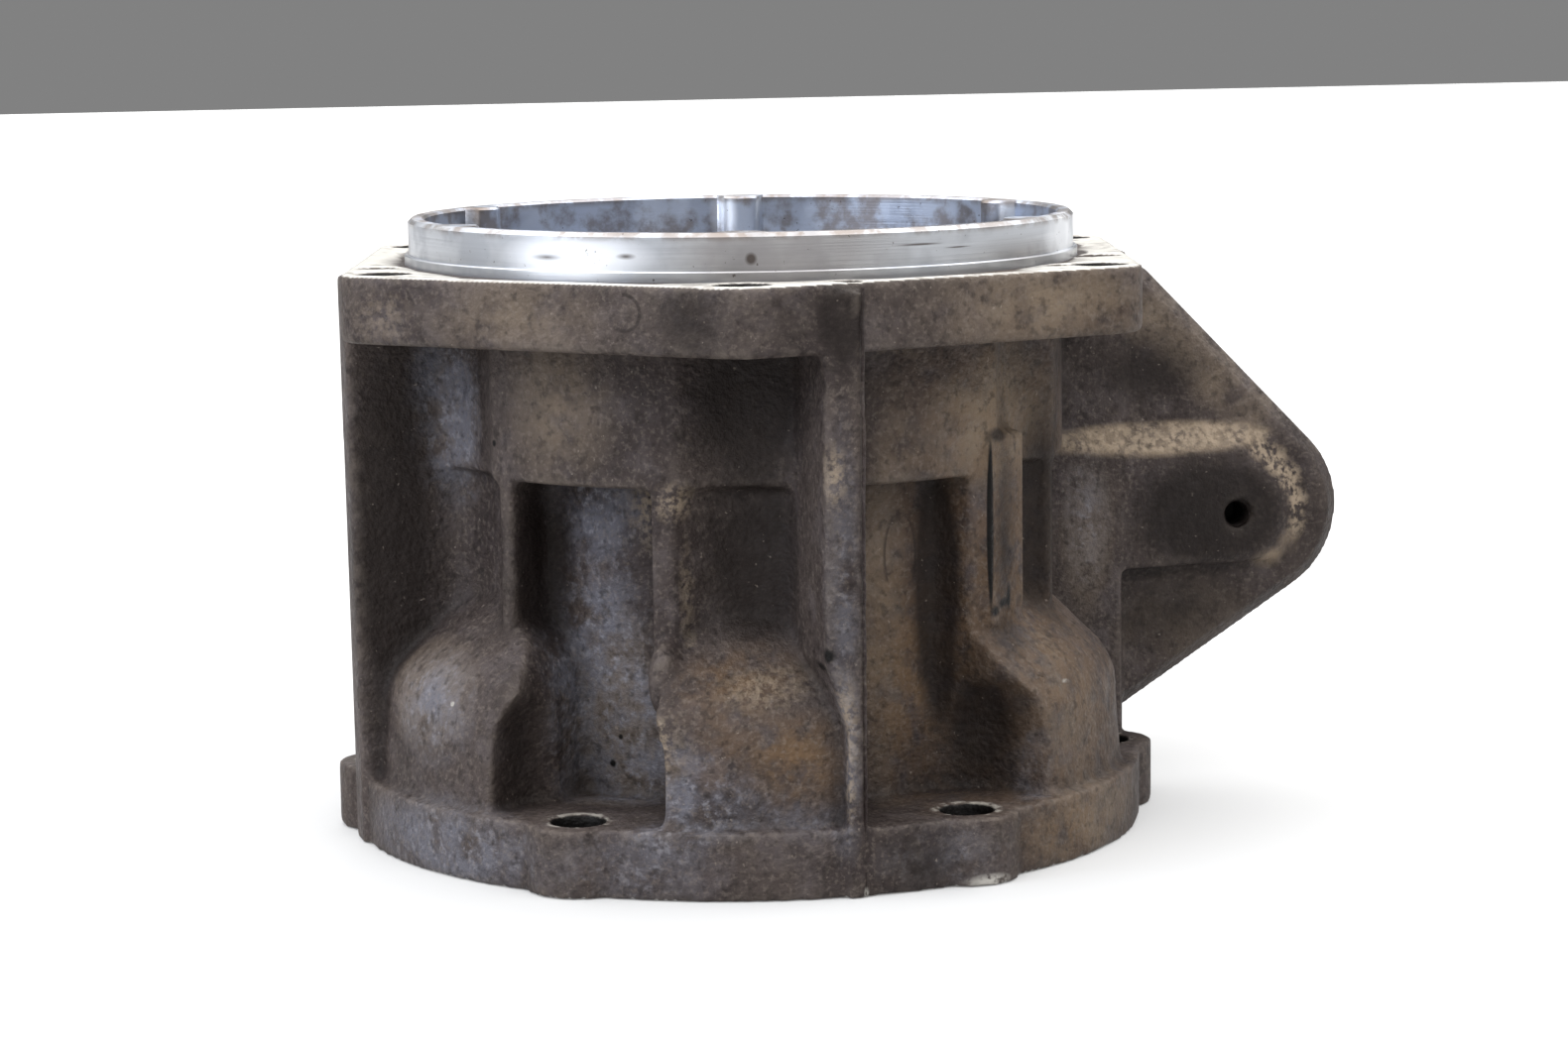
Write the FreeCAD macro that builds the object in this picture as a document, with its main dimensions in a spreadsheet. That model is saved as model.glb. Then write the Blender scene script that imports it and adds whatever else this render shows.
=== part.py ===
import FreeCAD, Part
import math
import os
import Sketcher
from FreeCAD import Placement, Rotation, Vector

# Transmission extension housing: one aluminium die casting, open right through.
# Millimetres. +Z runs along the bore, from the base flange up to the pilot ring.
# The origin is the bore axis on the machined face of the base flange.
# The plain parting rib is at -Y, and the bracket stands out along +X.
# Four slides of the die pull out along the diagonals between the parting ribs, so
# every rib and pocket wall of a quadrant is parallel to the diagonal of that quadrant.
# The two front quadrants are modelled, and half a turn about Z makes the rear two.

SIZES = {
    # Heights along the bore
    "base_thickness": 15.5,
    "rib_foot": 52.0,
    "drum_bottom": 89.7,
    "front_flange_bottom": 121.7,
    "front_face": 137.5,
    "pilot_height": 10.16,
    # Base flange, its six lugs and holes
    "base_radius": 96.0,
    "base_bolt_circle": 88.4,
    "base_lug_radius": 11.9,
    "base_hole_radius": 6.0,
    "base_bolt_turn": -71.5,
    # Front flange, a hexagon with round corners, its holes and pilot ring
    "front_bolt_circle": 95.0,
    "front_corner_radius": 10.0,
    "front_hole_radius": 6.0,
    "front_bolt_turn": -105.6,
    "hole_chamfer": 0.4,
    "pilot_radius": 80.2,
    "pilot_chamfer": 1.5,
    "pilot_step_radius": 81.2,
    "pilot_step_height": 1.7,
    # Small blind holes in the front face
    "dowel_radius": 3.0,
    "oil_hole_radius": 5.0,
    "side_hole_radius": 4.2,
    "blind_depth": 12.0,
    # Barrel: bell at the foot, waist with its ribs, drum below the front flange
    "bell_radius": 91.0,
    "bell_shoulder": 33.0,
    "bell_round": 17.0,
    "bell_slope": 41.0,
    "bell_draft": 4.25,
    "floor_radius": 65.5,
    "deep_floor_radius": 61.0,
    "front_floor_radius": 67.0,
    "bay_radius": 24.0,
    "bay_centre": 92.5,
    "drum_radius": 77.4,
    "valley_radius": 30.0,
    "valley_centre": 102.0,
    "scallop_radius": 22.0,
    "scallop_centre": 28.0,
    # Parting ribs
    "parting_radius": 98.2,
    "parting_foot_radius": 97.0,
    "parting_top": 135.5,
    "front_rib_width": 8.8,
    "front_rib_foot_width": 3.8,
    "front_rib_waist_low": 38.0,
    "front_rib_waist_high": 54.0,
    "side_rib_width": 10.0,
    # Narrow ribs: slide directions, and where each rib stands across its slide
    "left_pull": -135.0,
    "right_pull": -45.0,
    "rib_width": 4.4,
    "rib_reach": 76.7,
    "rib_a_place": -21.9,
    "rib_b_place": 19.4,
    "rib_c_place": -21.3,
    "rib_d_place": 16.0,
    # The way over the left base bolt, across its slide
    "left_way_low": -10.0,
    "left_way_high": 24.0,
    "front_way_edge": -23.6,
    "side_way_edge": 29.0,
    "shoulder_height": 36.0,
    "shoulder_round": 27.4,
    # Raised plaque between the two right ribs
    "plaque_low": -19.5,
    "plaque_high": -2.0,
    "plaque_face": 76.0,
    "plaque_bottom": 54.0,
    "plaque_top": 98.5,
    # Rounding of upright edges
    "hollow_round": 3.5,
    "root_round": 6.0,
    "crest_round": 1.2,
    "dome_round": 5.0,
    # Hollow
    "wall": 6.0,
    "throat_radius": 55.5,
    "drum_bore": 65.5,
    "drum_bore_start": 94.0,
    "mouth_radius": 76.3,
    "mouth_floor": 127.0,
    "mouth_step": 3.0,
    "mouth_rib_radius": 5.5,
    "mouth_rib_round": 4.0,
    # Bracket on the +X rib
    "bracket_eye_reach": 126.9,
    "bracket_eye_height": 68.4,
    "bracket_nose_reach": 133.5,
    "bracket_nose_height": 68.8,
    "bracket_nose_radius": 23.5,
    "bracket_top_slope": 45.0,
    "bracket_low_slope": 31.3,
    "bracket_top": 131.5,
    "bracket_corner_round": 5.0,
    "bracket_front": 4.0,
    "bracket_back": 6.0,
    "bracket_chamfer": 4.0,
    "bracket_hole_radius": 3.35,
    "bracket_hole_chamfer": 0.9,
    "pad_face": 8.0,
    "pad_left": 82.0,
    "pad_low": 46.0,
    "pad_foot": 56.0,
    "pad_high": 92.6,
    "pad_taper": 62.0,
    "pad_round": 20.0,
    "step_face": 8.5,
    "step_top": 84.8,
}
HALF_TURN = 180.0
BOLT_COUNT = 6
FAR = 140.0

doc = FreeCAD.newDocument("extension_housing")
sheet = doc.addObject("Spreadsheet::Sheet", "sizes")
for row, (alias, size) in enumerate(SIZES.items(), start=1):
    sheet.set("A%d" % row, alias)
    sheet.set("B%d" % row, str(size))
    sheet.setAlias("B%d" % row, alias)
doc.recompute()


def size(formula):
    """Value of a formula in the sheet's names, such as 'front_face - wall'."""
    value = sheet.evalExpression(formula)
    return float(getattr(value, "Value", value))


def bind(thing, **formulas):
    """Tie properties of an object to formulas in the sheet's names."""
    for prop, formula in formulas.items():
        thing.setExpression(prop.replace("__", "."), named(formula))


def named(formula):
    """The same formula with the sheet's name before each alias."""
    words = []
    word = ""
    for letter in formula + " ":
        if letter.isalnum() or letter in "_.":
            word += letter
            continue
        words.append("sizes." + word if word in SIZES else word)
        words.append(letter)
        word = ""
    return "".join(words).strip()


def polar(radius, degrees):
    """Point at a radius and an angle about Z."""
    angle = math.radians(degrees)
    return Vector(radius * math.cos(angle), radius * math.sin(angle), 0)


# Sketches and bodies

def new_body(name):
    return doc.addObject("PartDesign::Body", name)


def origin_plane(body, role):
    return next(item for item in body.Origin.OriginFeatures if item.Role == role)


def new_sketch(body, name, role, lift=None):
    """Sketch on an origin plane of its body, lifted along the plane's normal."""
    sketch = body.newObject("Sketcher::SketchObject", name)
    sketch.AttachmentSupport = [(origin_plane(body, role), "")]
    sketch.MapMode = "FlatFace"
    if lift:
        bind(sketch, AttachmentOffset__Base__z=lift)
    return sketch


def constrain(sketch, kind, *refs):
    """Constraint whose last argument is a formula, bound to the sheet."""
    *geometry, formula = refs
    index = sketch.addConstraint(Sketcher.Constraint(kind, *geometry, size(formula)))
    sketch.setExpression("Constraints[%d]" % index, named(formula))


def place_point(sketch, geometry, end, across, up):
    """Hold a point of a sketch at two formulas, or on an axis where one is '0'."""
    if across == "0":
        sketch.addConstraint(Sketcher.Constraint("PointOnObject", geometry, end, -2))
    else:
        constrain(sketch, "DistanceX", -1, 1, geometry, end, across)
    if up == "0":
        sketch.addConstraint(Sketcher.Constraint("PointOnObject", geometry, end, -1))
    else:
        constrain(sketch, "DistanceY", -1, 1, geometry, end, up)


def draw_polygon(sketch, corners):
    """Closed chain of lines through corners given as pairs of formulas."""
    points = [Vector(size(across), size(up), 0) for across, up in corners]
    first = sketch.GeometryCount
    for start, stop in zip(points, points[1:] + points[:1]):
        sketch.addGeometry(Part.LineSegment(start, stop), False)
    for number, (across, up) in enumerate(corners):
        before = (number - 1) % len(corners)
        sketch.addConstraint(Sketcher.Constraint("Coincident", first + before, 2, first + number, 1))
        place_point(sketch, first + number, 1, across, up)


def draw_circle(sketch, radius, across="0", up="0"):
    """Circle held by its centre and radius."""
    centre = Vector(size(across), size(up), 0)
    index = sketch.addGeometry(Part.Circle(centre, Vector(0, 0, 1), size(radius)), False)
    if across == "0" and up == "0":
        sketch.addConstraint(Sketcher.Constraint("Coincident", index, 3, -1, 1))
    else:
        place_point(sketch, index, 3, across, up)
    constrain(sketch, "Radius", index, radius)


def revolved(name, corners):
    """Body turned about Z from a profile of radius and height."""
    body = new_body(name)
    sketch = new_sketch(body, name + "_profile", "XZ_Plane")
    draw_polygon(sketch, corners)
    turn = body.newObject("PartDesign::Revolution", name + "_turned")
    turn.Profile = sketch
    turn.ReferenceAxis = (sketch, ["V_Axis"])
    turn.Angle = 360.0
    doc.recompute()
    return body


def padded(body, sketch, name, length):
    pad = body.newObject("PartDesign::Pad", name)
    pad.Profile = sketch
    bind(pad, Length=length)
    doc.recompute()
    return pad


def around_bore(body, feature, name):
    """Six copies of a feature about the bore."""
    pattern = body.newObject("PartDesign::PolarPattern", name)
    pattern.Originals = [feature]
    pattern.Axis = (origin_axis(body), [""])
    pattern.Angle = 360.0
    pattern.Occurrences = BOLT_COUNT
    body.Tip = pattern
    doc.recompute()
    return pattern


def origin_axis(body):
    return origin_plane(body, "Z_Axis")


def edges_where(shape, test):
    """Names of the edges whose two ends and middle all pass a test."""
    names = []
    for number, edge in enumerate(shape.Edges, start=1):
        low, high = edge.ParameterRange
        spots = [edge.valueAt(low), edge.valueAt((low + high) / 2.0), edge.valueAt(high)]
        if all(test(spot) for spot in spots):
            names.append("Edge%d" % number)
    return names


def fused(name, parts):
    joined = doc.addObject("Part::MultiFuse", name)
    joined.Shapes = parts
    joined.Refine = True
    return joined


def common(name, parts):
    shared_part = doc.addObject("Part::MultiCommon", name)
    shared_part.Shapes = parts
    return shared_part


def cut(name, base, tools):
    """Base less several tools."""
    away = doc.addObject("Part::Cut", name)
    away.Base = base
    away.Tool = tools[0] if len(tools) == 1 else fused(name + "_tools", tools)
    away.Refine = True
    return away


# Flanges and pilot ring

def make_base_flange():
    body = new_body("base_flange")
    disc = new_sketch(body, "base_disc", "XY_Plane")
    draw_circle(disc, "base_radius")
    padded(body, disc, "base_plate", "base_thickness")
    lug = new_sketch(body, "lug_circle", "XY_Plane")
    draw_circle(lug, "base_lug_radius", "base_bolt_circle * cos(base_bolt_turn)",
                "base_bolt_circle * sin(base_bolt_turn)")
    around_bore(body, padded(body, lug, "lug", "base_thickness"), "lugs")
    return body


def make_front_flange():
    body = new_body("front_flange")
    sketch = new_sketch(body, "hexagon", "XY_Plane", lift="front_flange_bottom")
    corner = "(front_bolt_circle + front_corner_radius / cos(30))"
    corners = []
    for number in range(BOLT_COUNT):
        turn = "(front_bolt_turn + %d)" % (60 * number)
        corners.append(("%s * cos%s" % (corner, turn), "%s * sin%s" % (corner, turn)))
    draw_polygon(sketch, corners)
    pad = padded(body, sketch, "front_plate", "front_face - front_flange_bottom")
    rounds = body.newObject("PartDesign::Fillet", "front_corners")
    far = size("front_bolt_circle")
    rounds.Base = (pad, edges_where(pad.Shape, lambda spot: math.hypot(spot.x, spot.y) > far))
    bind(rounds, Radius="front_corner_radius")
    body.Tip = rounds
    doc.recompute()
    return body


def make_pilot_ring():
    top = "front_face + pilot_height"
    return revolved("pilot_ring", [
        ("drum_bore", "front_face - 1"),
        ("pilot_step_radius", "front_face - 1"),
        ("pilot_step_radius", "front_face + pilot_step_height"),
        ("pilot_radius", "front_face + pilot_step_height"),
        ("pilot_radius", top + " - pilot_chamfer"),
        ("pilot_radius - pilot_chamfer", top),
        ("drum_bore", top),
    ])


# Barrel

DRAFT_END = "(bell_radius - bell_round + bell_round * cos(bell_draft))"
DRAFT_RISE = "(bell_shoulder + bell_round * sin(bell_draft))"
SLOPE_START = "(bell_radius - bell_round + bell_round * sin(bell_slope))"
SLOPE_RISE = "(bell_shoulder + bell_round * cos(bell_slope))"


def make_bell(name, inset):
    """Bell turned about Z, its shoulder an arc; the inset makes the hollow inside it."""
    body = new_body(name)
    sketch = new_sketch(body, name + "_profile", "XZ_Plane")
    foot = "%s + %s * tan(bell_draft) - %s" % (DRAFT_END, DRAFT_RISE, inset)
    neck = "(throat_radius - 1)"
    top = "%s + (%s - %s - %s) * tan(bell_slope)" % (SLOPE_RISE, SLOPE_START, inset, neck)
    radius = "(bell_round - %s)" % inset
    centre = Vector(size("bell_radius - bell_round"), size("bell_shoulder"), 0)
    round_size = size(radius)
    draft, slope = math.radians(size("bell_draft")), math.radians(90 - size("bell_slope"))
    low = centre + Vector(math.cos(draft), math.sin(draft), 0) * round_size
    high = centre + Vector(math.cos(slope), math.sin(slope), 0) * round_size
    foot_point, top_point = Vector(size(foot), 0, 0), Vector(size(neck), size(top), 0)
    corner = Vector(0, top_point.y, 0)
    sketch.addGeometry(Part.LineSegment(Vector(), foot_point), False)
    sketch.addGeometry(Part.LineSegment(foot_point, low), False)
    sketch.addGeometry(Part.ArcOfCircle(Part.Circle(centre, Vector(0, 0, 1), round_size), draft, slope), False)
    sketch.addGeometry(Part.LineSegment(high, top_point), False)
    sketch.addGeometry(Part.LineSegment(top_point, corner), False)
    sketch.addGeometry(Part.LineSegment(corner, Vector()), False)
    for first, first_end, second, second_end in ((0, 2, 1, 1), (3, 2, 4, 1), (4, 2, 5, 1), (5, 2, 0, 1)):
        sketch.addConstraint(Sketcher.Constraint("Coincident", first, first_end, second, second_end))
    sketch.addConstraint(Sketcher.Constraint("Coincident", 0, 1, -1, 1))
    sketch.addConstraint(Sketcher.Constraint("Tangent", 1, 2, 2, 1))
    sketch.addConstraint(Sketcher.Constraint("Tangent", 2, 2, 3, 1))
    place_point(sketch, 1, 1, foot, "0")
    place_point(sketch, 2, 3, "bell_radius - bell_round", "bell_shoulder")
    constrain(sketch, "Radius", 2, radius)
    place_point(sketch, 3, 2, neck, top)
    sketch.addConstraint(Sketcher.Constraint("Horizontal", 4))
    sketch.addConstraint(Sketcher.Constraint("Vertical", 5))
    turn = body.newObject("PartDesign::Revolution", name + "_turned")
    turn.Profile = sketch
    turn.ReferenceAxis = (sketch, ["V_Axis"])
    turn.Angle = 360.0
    doc.recompute()
    return body


def plan_disc(radius, centre=Vector()):
    return Part.Face(Part.Wire(Part.makeCircle(radius, centre)))


def plan_strip(near, far, low, high, turn):
    """Rectangle in plan: out along a direction from near to far, across it from low to high."""
    corners = [Vector(near, low, 0), Vector(far, low, 0), Vector(far, high, 0), Vector(near, high, 0)]
    face = Part.Face(Part.makePolygon(corners + corners[:1]))
    face.rotate(Vector(), Vector(0, 0, 1), turn)
    return face


def plan_slot(radius, centre, turn):
    """Slot in plan: a circle swept outward along a slide direction."""
    local = Rotation(Vector(0, 0, 1), -turn).multVec(centre)
    mouth = plan_strip(local.x, FAR, local.y - radius, local.y + radius, turn)
    return united([plan_disc(radius, centre), mouth])


def united(faces):
    """One plan outline from faces that touch."""
    return faces[0].fuse(faces[1:]).removeSplitter().Faces[0]


def minus(face, cutters):
    left = face.cut(cutters).removeSplitter()
    return max(left.Faces, key=lambda part: part.Area)


def shared(face, limits):
    for limit in limits:
        face = face.common(limit).Faces[0]
    return face


def round_hollows(face, radius):
    return face.makeOffset2D(radius).makeOffset2D(-radius)


def round_crests(face, radius):
    return face.makeOffset2D(-radius).makeOffset2D(radius)


def both_halves(make):
    """The faces that a function makes for the front, and again half a turn round."""
    return make(0.0) + make(HALF_TURN)


def pulls(half):
    return size("left_pull") + half, size("right_pull") + half


def quarter(turn):
    """The quadrant that starts at an angle."""
    return plan_strip(0, FAR, 0, FAR, turn)


def parting_strips(half, front_width="front_rib_width"):
    """The two parting ribs of one half, in plan."""
    reach = size("parting_foot_radius") - 0.8
    front = plan_strip(0, reach, -size(front_width), 0, -90 + half)
    side = plan_strip(0, reach, -size("side_rib_width") / 2, size("side_rib_width") / 2, half)
    return [front, side]


def floors(half):
    """Floors of the six bays of one half; those under the front bolts are round valleys."""
    left, right = pulls(half)
    left_quarter, right_quarter = quarter(-180 + half), quarter(-90 + half)
    a, b, c, d = (size("rib_%s_place" % letter) for letter in "abcd")
    drum = plan_disc(size("rib_reach"))
    valleys = [plan_disc(size("bay_radius"), polar(size("bay_centre"), turn)) for _, turn in front_bolts()]
    return [
        shared(minus(drum, valleys), [left_quarter, plan_strip(0, FAR, -FAR, a, left)]),
        shared(minus(drum, valleys), [left_quarter, plan_strip(0, FAR, b, FAR, left)]),
        shared(minus(drum, valleys), [right_quarter, plan_strip(0, FAR, c, d, right)]),
        shared(plan_disc(size("front_floor_radius")), [right_quarter, plan_strip(0, FAR, -FAR, c, right)]),
        shared(plan_disc(size("floor_radius")), [right_quarter, plan_strip(0, FAR, d, FAR, right)]),
    ]


def rib_strip(place, turn):
    width = size("rib_width")
    strip = plan_strip(0, FAR, place - width / 2, place + width / 2, turn)
    return shared(strip, [plan_disc(size("rib_reach"))])


def waist_ribs(half):
    left, right = pulls(half)
    return [
        rib_strip(size("rib_a_place"), left),
        rib_strip(size("rib_b_place"), left),
        rib_strip(size("rib_c_place"), right),
        rib_strip(size("rib_d_place"), right),
    ]


def core_plan():
    core = united([plan_disc(size("deep_floor_radius"))] + both_halves(floors) + both_halves(parting_strips))
    return round_hollows(core, size("root_round"))


def waist_plan():
    ribbed = round_hollows(united([core_plan()] + both_halves(waist_ribs)), size("hollow_round"))
    return round_crests(ribbed, size("crest_round"))


def around(circle, turn):
    """Centres and angles of the six bolts on a circle."""
    turns = [size(turn) + 60 * number for number in range(BOLT_COUNT)]
    return [(polar(size(circle), angle), angle) for angle in turns]


def front_bolts():
    return around("front_bolt_circle", "front_bolt_turn")


def base_bolts():
    return around("base_bolt_circle", "base_bolt_turn")


def pull_at(turn):
    """Slide direction of the quadrant that an angle lies in."""
    return 45.0 + 90.0 * math.floor((turn % 360.0) / 90.0)


def drum_plan():
    """Drum with six shallow valleys that clear the front bolts."""
    valleys = [plan_disc(size("valley_radius"), polar(size("valley_centre"), turn)) for _, turn in front_bolts()]
    drum = minus(plan_disc(size("drum_radius")), valleys)
    drum = united([drum] + both_halves(parting_strips))
    return round_crests(round_hollows(drum, size("hollow_round")), size("crest_round"))


def bolt_ways(half, grow=0.0):
    """Upright ways over the three base bolts of one half, in plan, widened by some clearance.

    The left one is a straight slot, and the front and side ones are open to the parting ribs.
    """
    left, right = pulls(half)
    beside_rib = plan_strip(0, FAR, -grow, FAR, -90 + half)
    beside_bracket = plan_strip(0, FAR, -FAR, grow, half)
    return [
        plan_strip(0, FAR, size("left_way_low") - grow, size("left_way_high") + grow, left),
        shared(plan_strip(0, FAR, -FAR, size("front_way_edge") + grow, right), [beside_rib]),
        shared(plan_strip(0, FAR, size("side_way_edge") - grow, FAR, right), [beside_bracket]),
    ]


def open_ways(half):
    """The ways of one half outside the floors they stop at."""
    stops = [size("deep_floor_radius"), size("front_floor_radius"), size("floor_radius")]
    return [minus(way, [plan_disc(stop)]) for way, stop in zip(bolt_ways(half), stops)]


def scallop_plans(grow):
    radius = size("scallop_radius") + grow
    return [plan_slot(radius, centre, pull_at(turn)) for centre, turn in base_bolts()]


def make_scallop(number, centre, turn):
    """Room for a base bolt's head: an upright shaft with a round roof, open outwards."""
    pull = pull_at(turn)
    spin = Rotation(Vector(0, 0, 1), pull)
    foot, crown = size("base_thickness"), size("scallop_centre")
    shaft = doc.addObject("Part::Cylinder", "scallop_shaft_%d" % number)
    bind(shaft, Radius="scallop_radius", Height="scallop_centre - base_thickness")
    shaft.Placement = Placement(Vector(centre.x, centre.y, foot), spin)
    roof = doc.addObject("Part::Sphere", "scallop_roof_%d" % number)
    bind(roof, Radius="scallop_radius")
    roof.Placement = Placement(Vector(centre.x, centre.y, crown), spin)
    vault = doc.addObject("Part::Cylinder", "scallop_vault_%d" % number)
    bind(vault, Radius="scallop_radius")
    vault.Height = FAR / 2
    vault.Placement = Placement(Vector(centre.x, centre.y, crown), spin * Rotation(Vector(0, 1, 0), 90))
    mouth = doc.addObject("Part::Box", "scallop_mouth_%d" % number)
    bind(mouth, Width="2 * scallop_radius", Height="scallop_centre - base_thickness")
    mouth.Length = FAR / 2
    side = spin.multVec(Vector(0, -size("scallop_radius"), 0))
    mouth.Placement = Placement(Vector(centre.x + side.x, centre.y + side.y, foot), spin)
    return [shaft, roof, vault, mouth]


def make_shoulder_cut(name, turn):
    """Rounds off the dome beside the left way, from the way's edge up to the root of the first rib."""
    spin = Rotation(Vector(0, 0, 1), turn)
    block = doc.addObject("Part::Box", name + "_block")
    low = "(rib_a_place + rib_width / 2)"
    bind(block, Width="left_way_low + hollow_round + 1 - %s" % low, Height="drum_bottom - shoulder_height")
    block.Length = FAR / 2
    inner = size("deep_floor_radius") * 0.9
    block.Placement = Placement(spin.multVec(Vector(inner, size(low), size("shoulder_height"))), spin)
    arch = doc.addObject("Part::Cylinder", name + "_arch")
    bind(arch, Radius="shoulder_round")
    arch.Height = FAR
    centre = Vector(0, size("left_way_low - shoulder_round"), size("shoulder_height"))
    arch.Placement = Placement(spin.multVec(centre), spin * Rotation(Vector(0, 1, 0), 90))
    core = doc.addObject("Part::Cylinder", name + "_core")
    bind(core, Radius="deep_floor_radius", Height="front_face")
    return cut(name, block, [arch, core])


def bell_plan():
    """Plan of the domes between the ways, with the parting ribs."""
    domes = minus(plan_disc(size("base_radius") - 2), both_halves(open_ways))
    domes = round_crests(domes, size("dome_round"))
    strips = both_halves(lambda half: parting_strips(half, "front_rib_foot_width"))
    return round_hollows(united([domes] + strips), size("hollow_round"))


def prism(name, face, bottom, height):
    """Upright solid on a plan outline, with its foot and height bound to the sheet."""
    outline = doc.addObject("Part::Feature", name + "_plan")
    outline.Shape = face
    solid = doc.addObject("Part::Extrusion", name)
    solid.Base = outline
    solid.DirMode = "Custom"
    solid.Dir = Vector(0, 0, 1)
    solid.Solid = True
    bind(solid, LengthFwd=height, Placement__Base__z=bottom)
    return solid


def make_parting_rib(name, width, shift, turn):
    """Rib from the foot to just below the front face, a little wider at the top."""
    body = new_body(name)
    sketch = new_sketch(body, name + "_side", "XZ_Plane")
    draw_polygon(sketch, [
        ("drum_bore + 2", "0"),
        ("parting_foot_radius", "0"),
        ("parting_radius", "parting_top"),
        ("drum_bore + 2", "parting_top"),
    ])
    pad = padded(body, sketch, name + "_web", width)
    bind(body, Placement__Base__x="-(%s) * sin(%s)" % (shift, turn),
         Placement__Base__y="(%s) * cos(%s)" % (shift, turn), Placement__Rotation__Angle=turn)
    crest = size("parting_foot_radius") - 0.1
    edges = edges_where(pad.Shape, lambda spot: spot.x > crest)
    edges = [edge for edge in edges if pad.Shape.getElement(edge).Length > size("parting_top") / 2]
    soft = body.newObject("PartDesign::Fillet", name + "_crest")
    soft.Base = (pad, edges)
    bind(soft, Radius="crest_round")
    body.Tip = soft
    doc.recompute()
    return body


def make_front_rib(name, turn):
    """Parting rib that narrows below the bell's shoulder, its right side in the parting plane."""
    web = make_parting_rib(name + "_depth", "front_rib_width", "0", turn)
    face = new_body(name + "_face")
    sketch = new_sketch(face, name + "_front", "YZ_Plane")
    draw_polygon(sketch, [
        ("0", "-1"),
        ("0", "parting_top + 1"),
        ("-front_rib_width - 1", "parting_top + 1"),
        ("-front_rib_width - 1", "front_rib_waist_high"),
        ("-front_rib_width", "front_rib_waist_high"),
        ("-front_rib_foot_width", "front_rib_waist_low"),
        ("-front_rib_foot_width", "-1"),
    ])
    padded(face, sketch, name + "_cover", "base_radius + 10")
    bind(face, Placement__Rotation__Angle=turn)
    return common(name, [web, face])


# Bracket

def make_bracket():
    """Plate on the parting plane, chamfered in front, with a raised pad round its hole."""
    body = new_body("bracket")
    outline = new_sketch(body, "bracket_outline", "XZ_Plane", lift="-bracket_back")
    nose = Vector(size("bracket_nose_reach"), size("bracket_nose_height"), 0)
    radius = size("bracket_nose_radius")
    top_turn = math.radians(90 - size("bracket_top_slope"))
    low_turn = math.radians(-90 + size("bracket_low_slope"))
    root = size("drum_bore + 4")
    start = nose + Vector(math.cos(low_turn), math.sin(low_turn), 0) * radius
    stop = nose + Vector(math.cos(top_turn), math.sin(top_turn), 0) * radius
    top = size("bracket_top")
    top_corner = Vector(stop.x - (top - stop.y) / math.tan(math.radians(size("bracket_top_slope"))), top, 0)
    top_root = Vector(root, top, 0)
    low_root = Vector(root, start.y - (start.x - root) * math.tan(math.radians(size("bracket_low_slope"))), 0)
    circle = Part.Circle(nose, Vector(0, 0, 1), radius)
    arc = outline.addGeometry(Part.ArcOfCircle(circle, low_turn, top_turn), False)
    slope = outline.addGeometry(Part.LineSegment(stop, top_corner), False)
    crown = outline.addGeometry(Part.LineSegment(top_corner, top_root), False)
    back = outline.addGeometry(Part.LineSegment(top_root, low_root), False)
    low = outline.addGeometry(Part.LineSegment(low_root, start), False)
    for first, second in ((slope, crown), (crown, back), (back, low)):
        outline.addConstraint(Sketcher.Constraint("Coincident", first, 2, second, 1))
    outline.addConstraint(Sketcher.Constraint("Tangent", low, 2, arc, 1))
    outline.addConstraint(Sketcher.Constraint("Tangent", arc, 2, slope, 1))
    outline.addConstraint(Sketcher.Constraint("Vertical", back))
    outline.addConstraint(Sketcher.Constraint("Horizontal", crown))
    place_point(outline, arc, 3, "bracket_nose_reach", "bracket_nose_height")
    constrain(outline, "Radius", arc, "bracket_nose_radius")
    place_point(outline, back, 1, "drum_bore + 4", "bracket_top")
    constrain(outline, "Angle", low, "bracket_low_slope")
    constrain(outline, "Angle", slope, "180 - bracket_top_slope")
    plate = padded(body, outline, "bracket_plate", "bracket_front + bracket_back")
    corner = body.newObject("PartDesign::Fillet", "bracket_corner")
    spot = size("bracket_nose_height + bracket_nose_radius + 5")
    ends = edges_where(plate.Shape, lambda at: at.z > spot and at.x > top_corner.x - 0.01)
    corner.Base = (plate, [name for name in ends if plate.Shape.getElement(name).Length < 20])
    bind(corner, Radius="bracket_corner_round")
    body.Tip = corner
    doc.recompute()
    plate = corner
    front = -size("bracket_front")
    flange = size("drum_bore + 4") + 1
    edge = body.newObject("PartDesign::Chamfer", "bracket_edge")
    rim = edges_where(plate.Shape, lambda spot: abs(spot.y - front) < 0.01)
    rim = [name for name in rim if plate.Shape.getElement(name).CenterOfMass.x > flange]
    edge.Base = (plate, rim)
    bind(edge, Size="bracket_chamfer")
    body.Tip = edge
    doc.recompute()
    pad = new_sketch(body, "pad_outline", "XZ_Plane", lift="bracket_front - 0.5")
    nose_corners = [("bracket_eye_reach + pad_round * cos(%d)" % turn,
                     "bracket_eye_height + pad_round * sin(%d)" % turn) for turn in (-60, -30, 0, 30, 60)]
    draw_polygon(pad, [("pad_left", "pad_low")] + nose_corners + [
        ("bracket_eye_reach + pad_round / 4", "pad_high"),
        ("pad_left", "pad_high"),
    ])
    boss = padded(body, pad, "bracket_pad", "pad_face - bracket_front + 0.5")
    bind(boss, TaperAngle="-pad_taper")
    below = new_sketch(body, "below_pad", "XZ_Plane", lift="pad_face")
    draw_polygon(below, [
        ("pad_left - 1", "pad_low - 1"),
        ("bracket_eye_reach + pad_round", "pad_low - 1"),
        ("bracket_eye_reach + pad_round", "pad_foot"),
        ("pad_left - 1", "pad_foot"),
    ])
    trim = body.newObject("PartDesign::Pocket", "pad_trim")
    trim.Profile = below
    bind(trim, Length="pad_face - bracket_front")
    doc.recompute()
    return body


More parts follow.
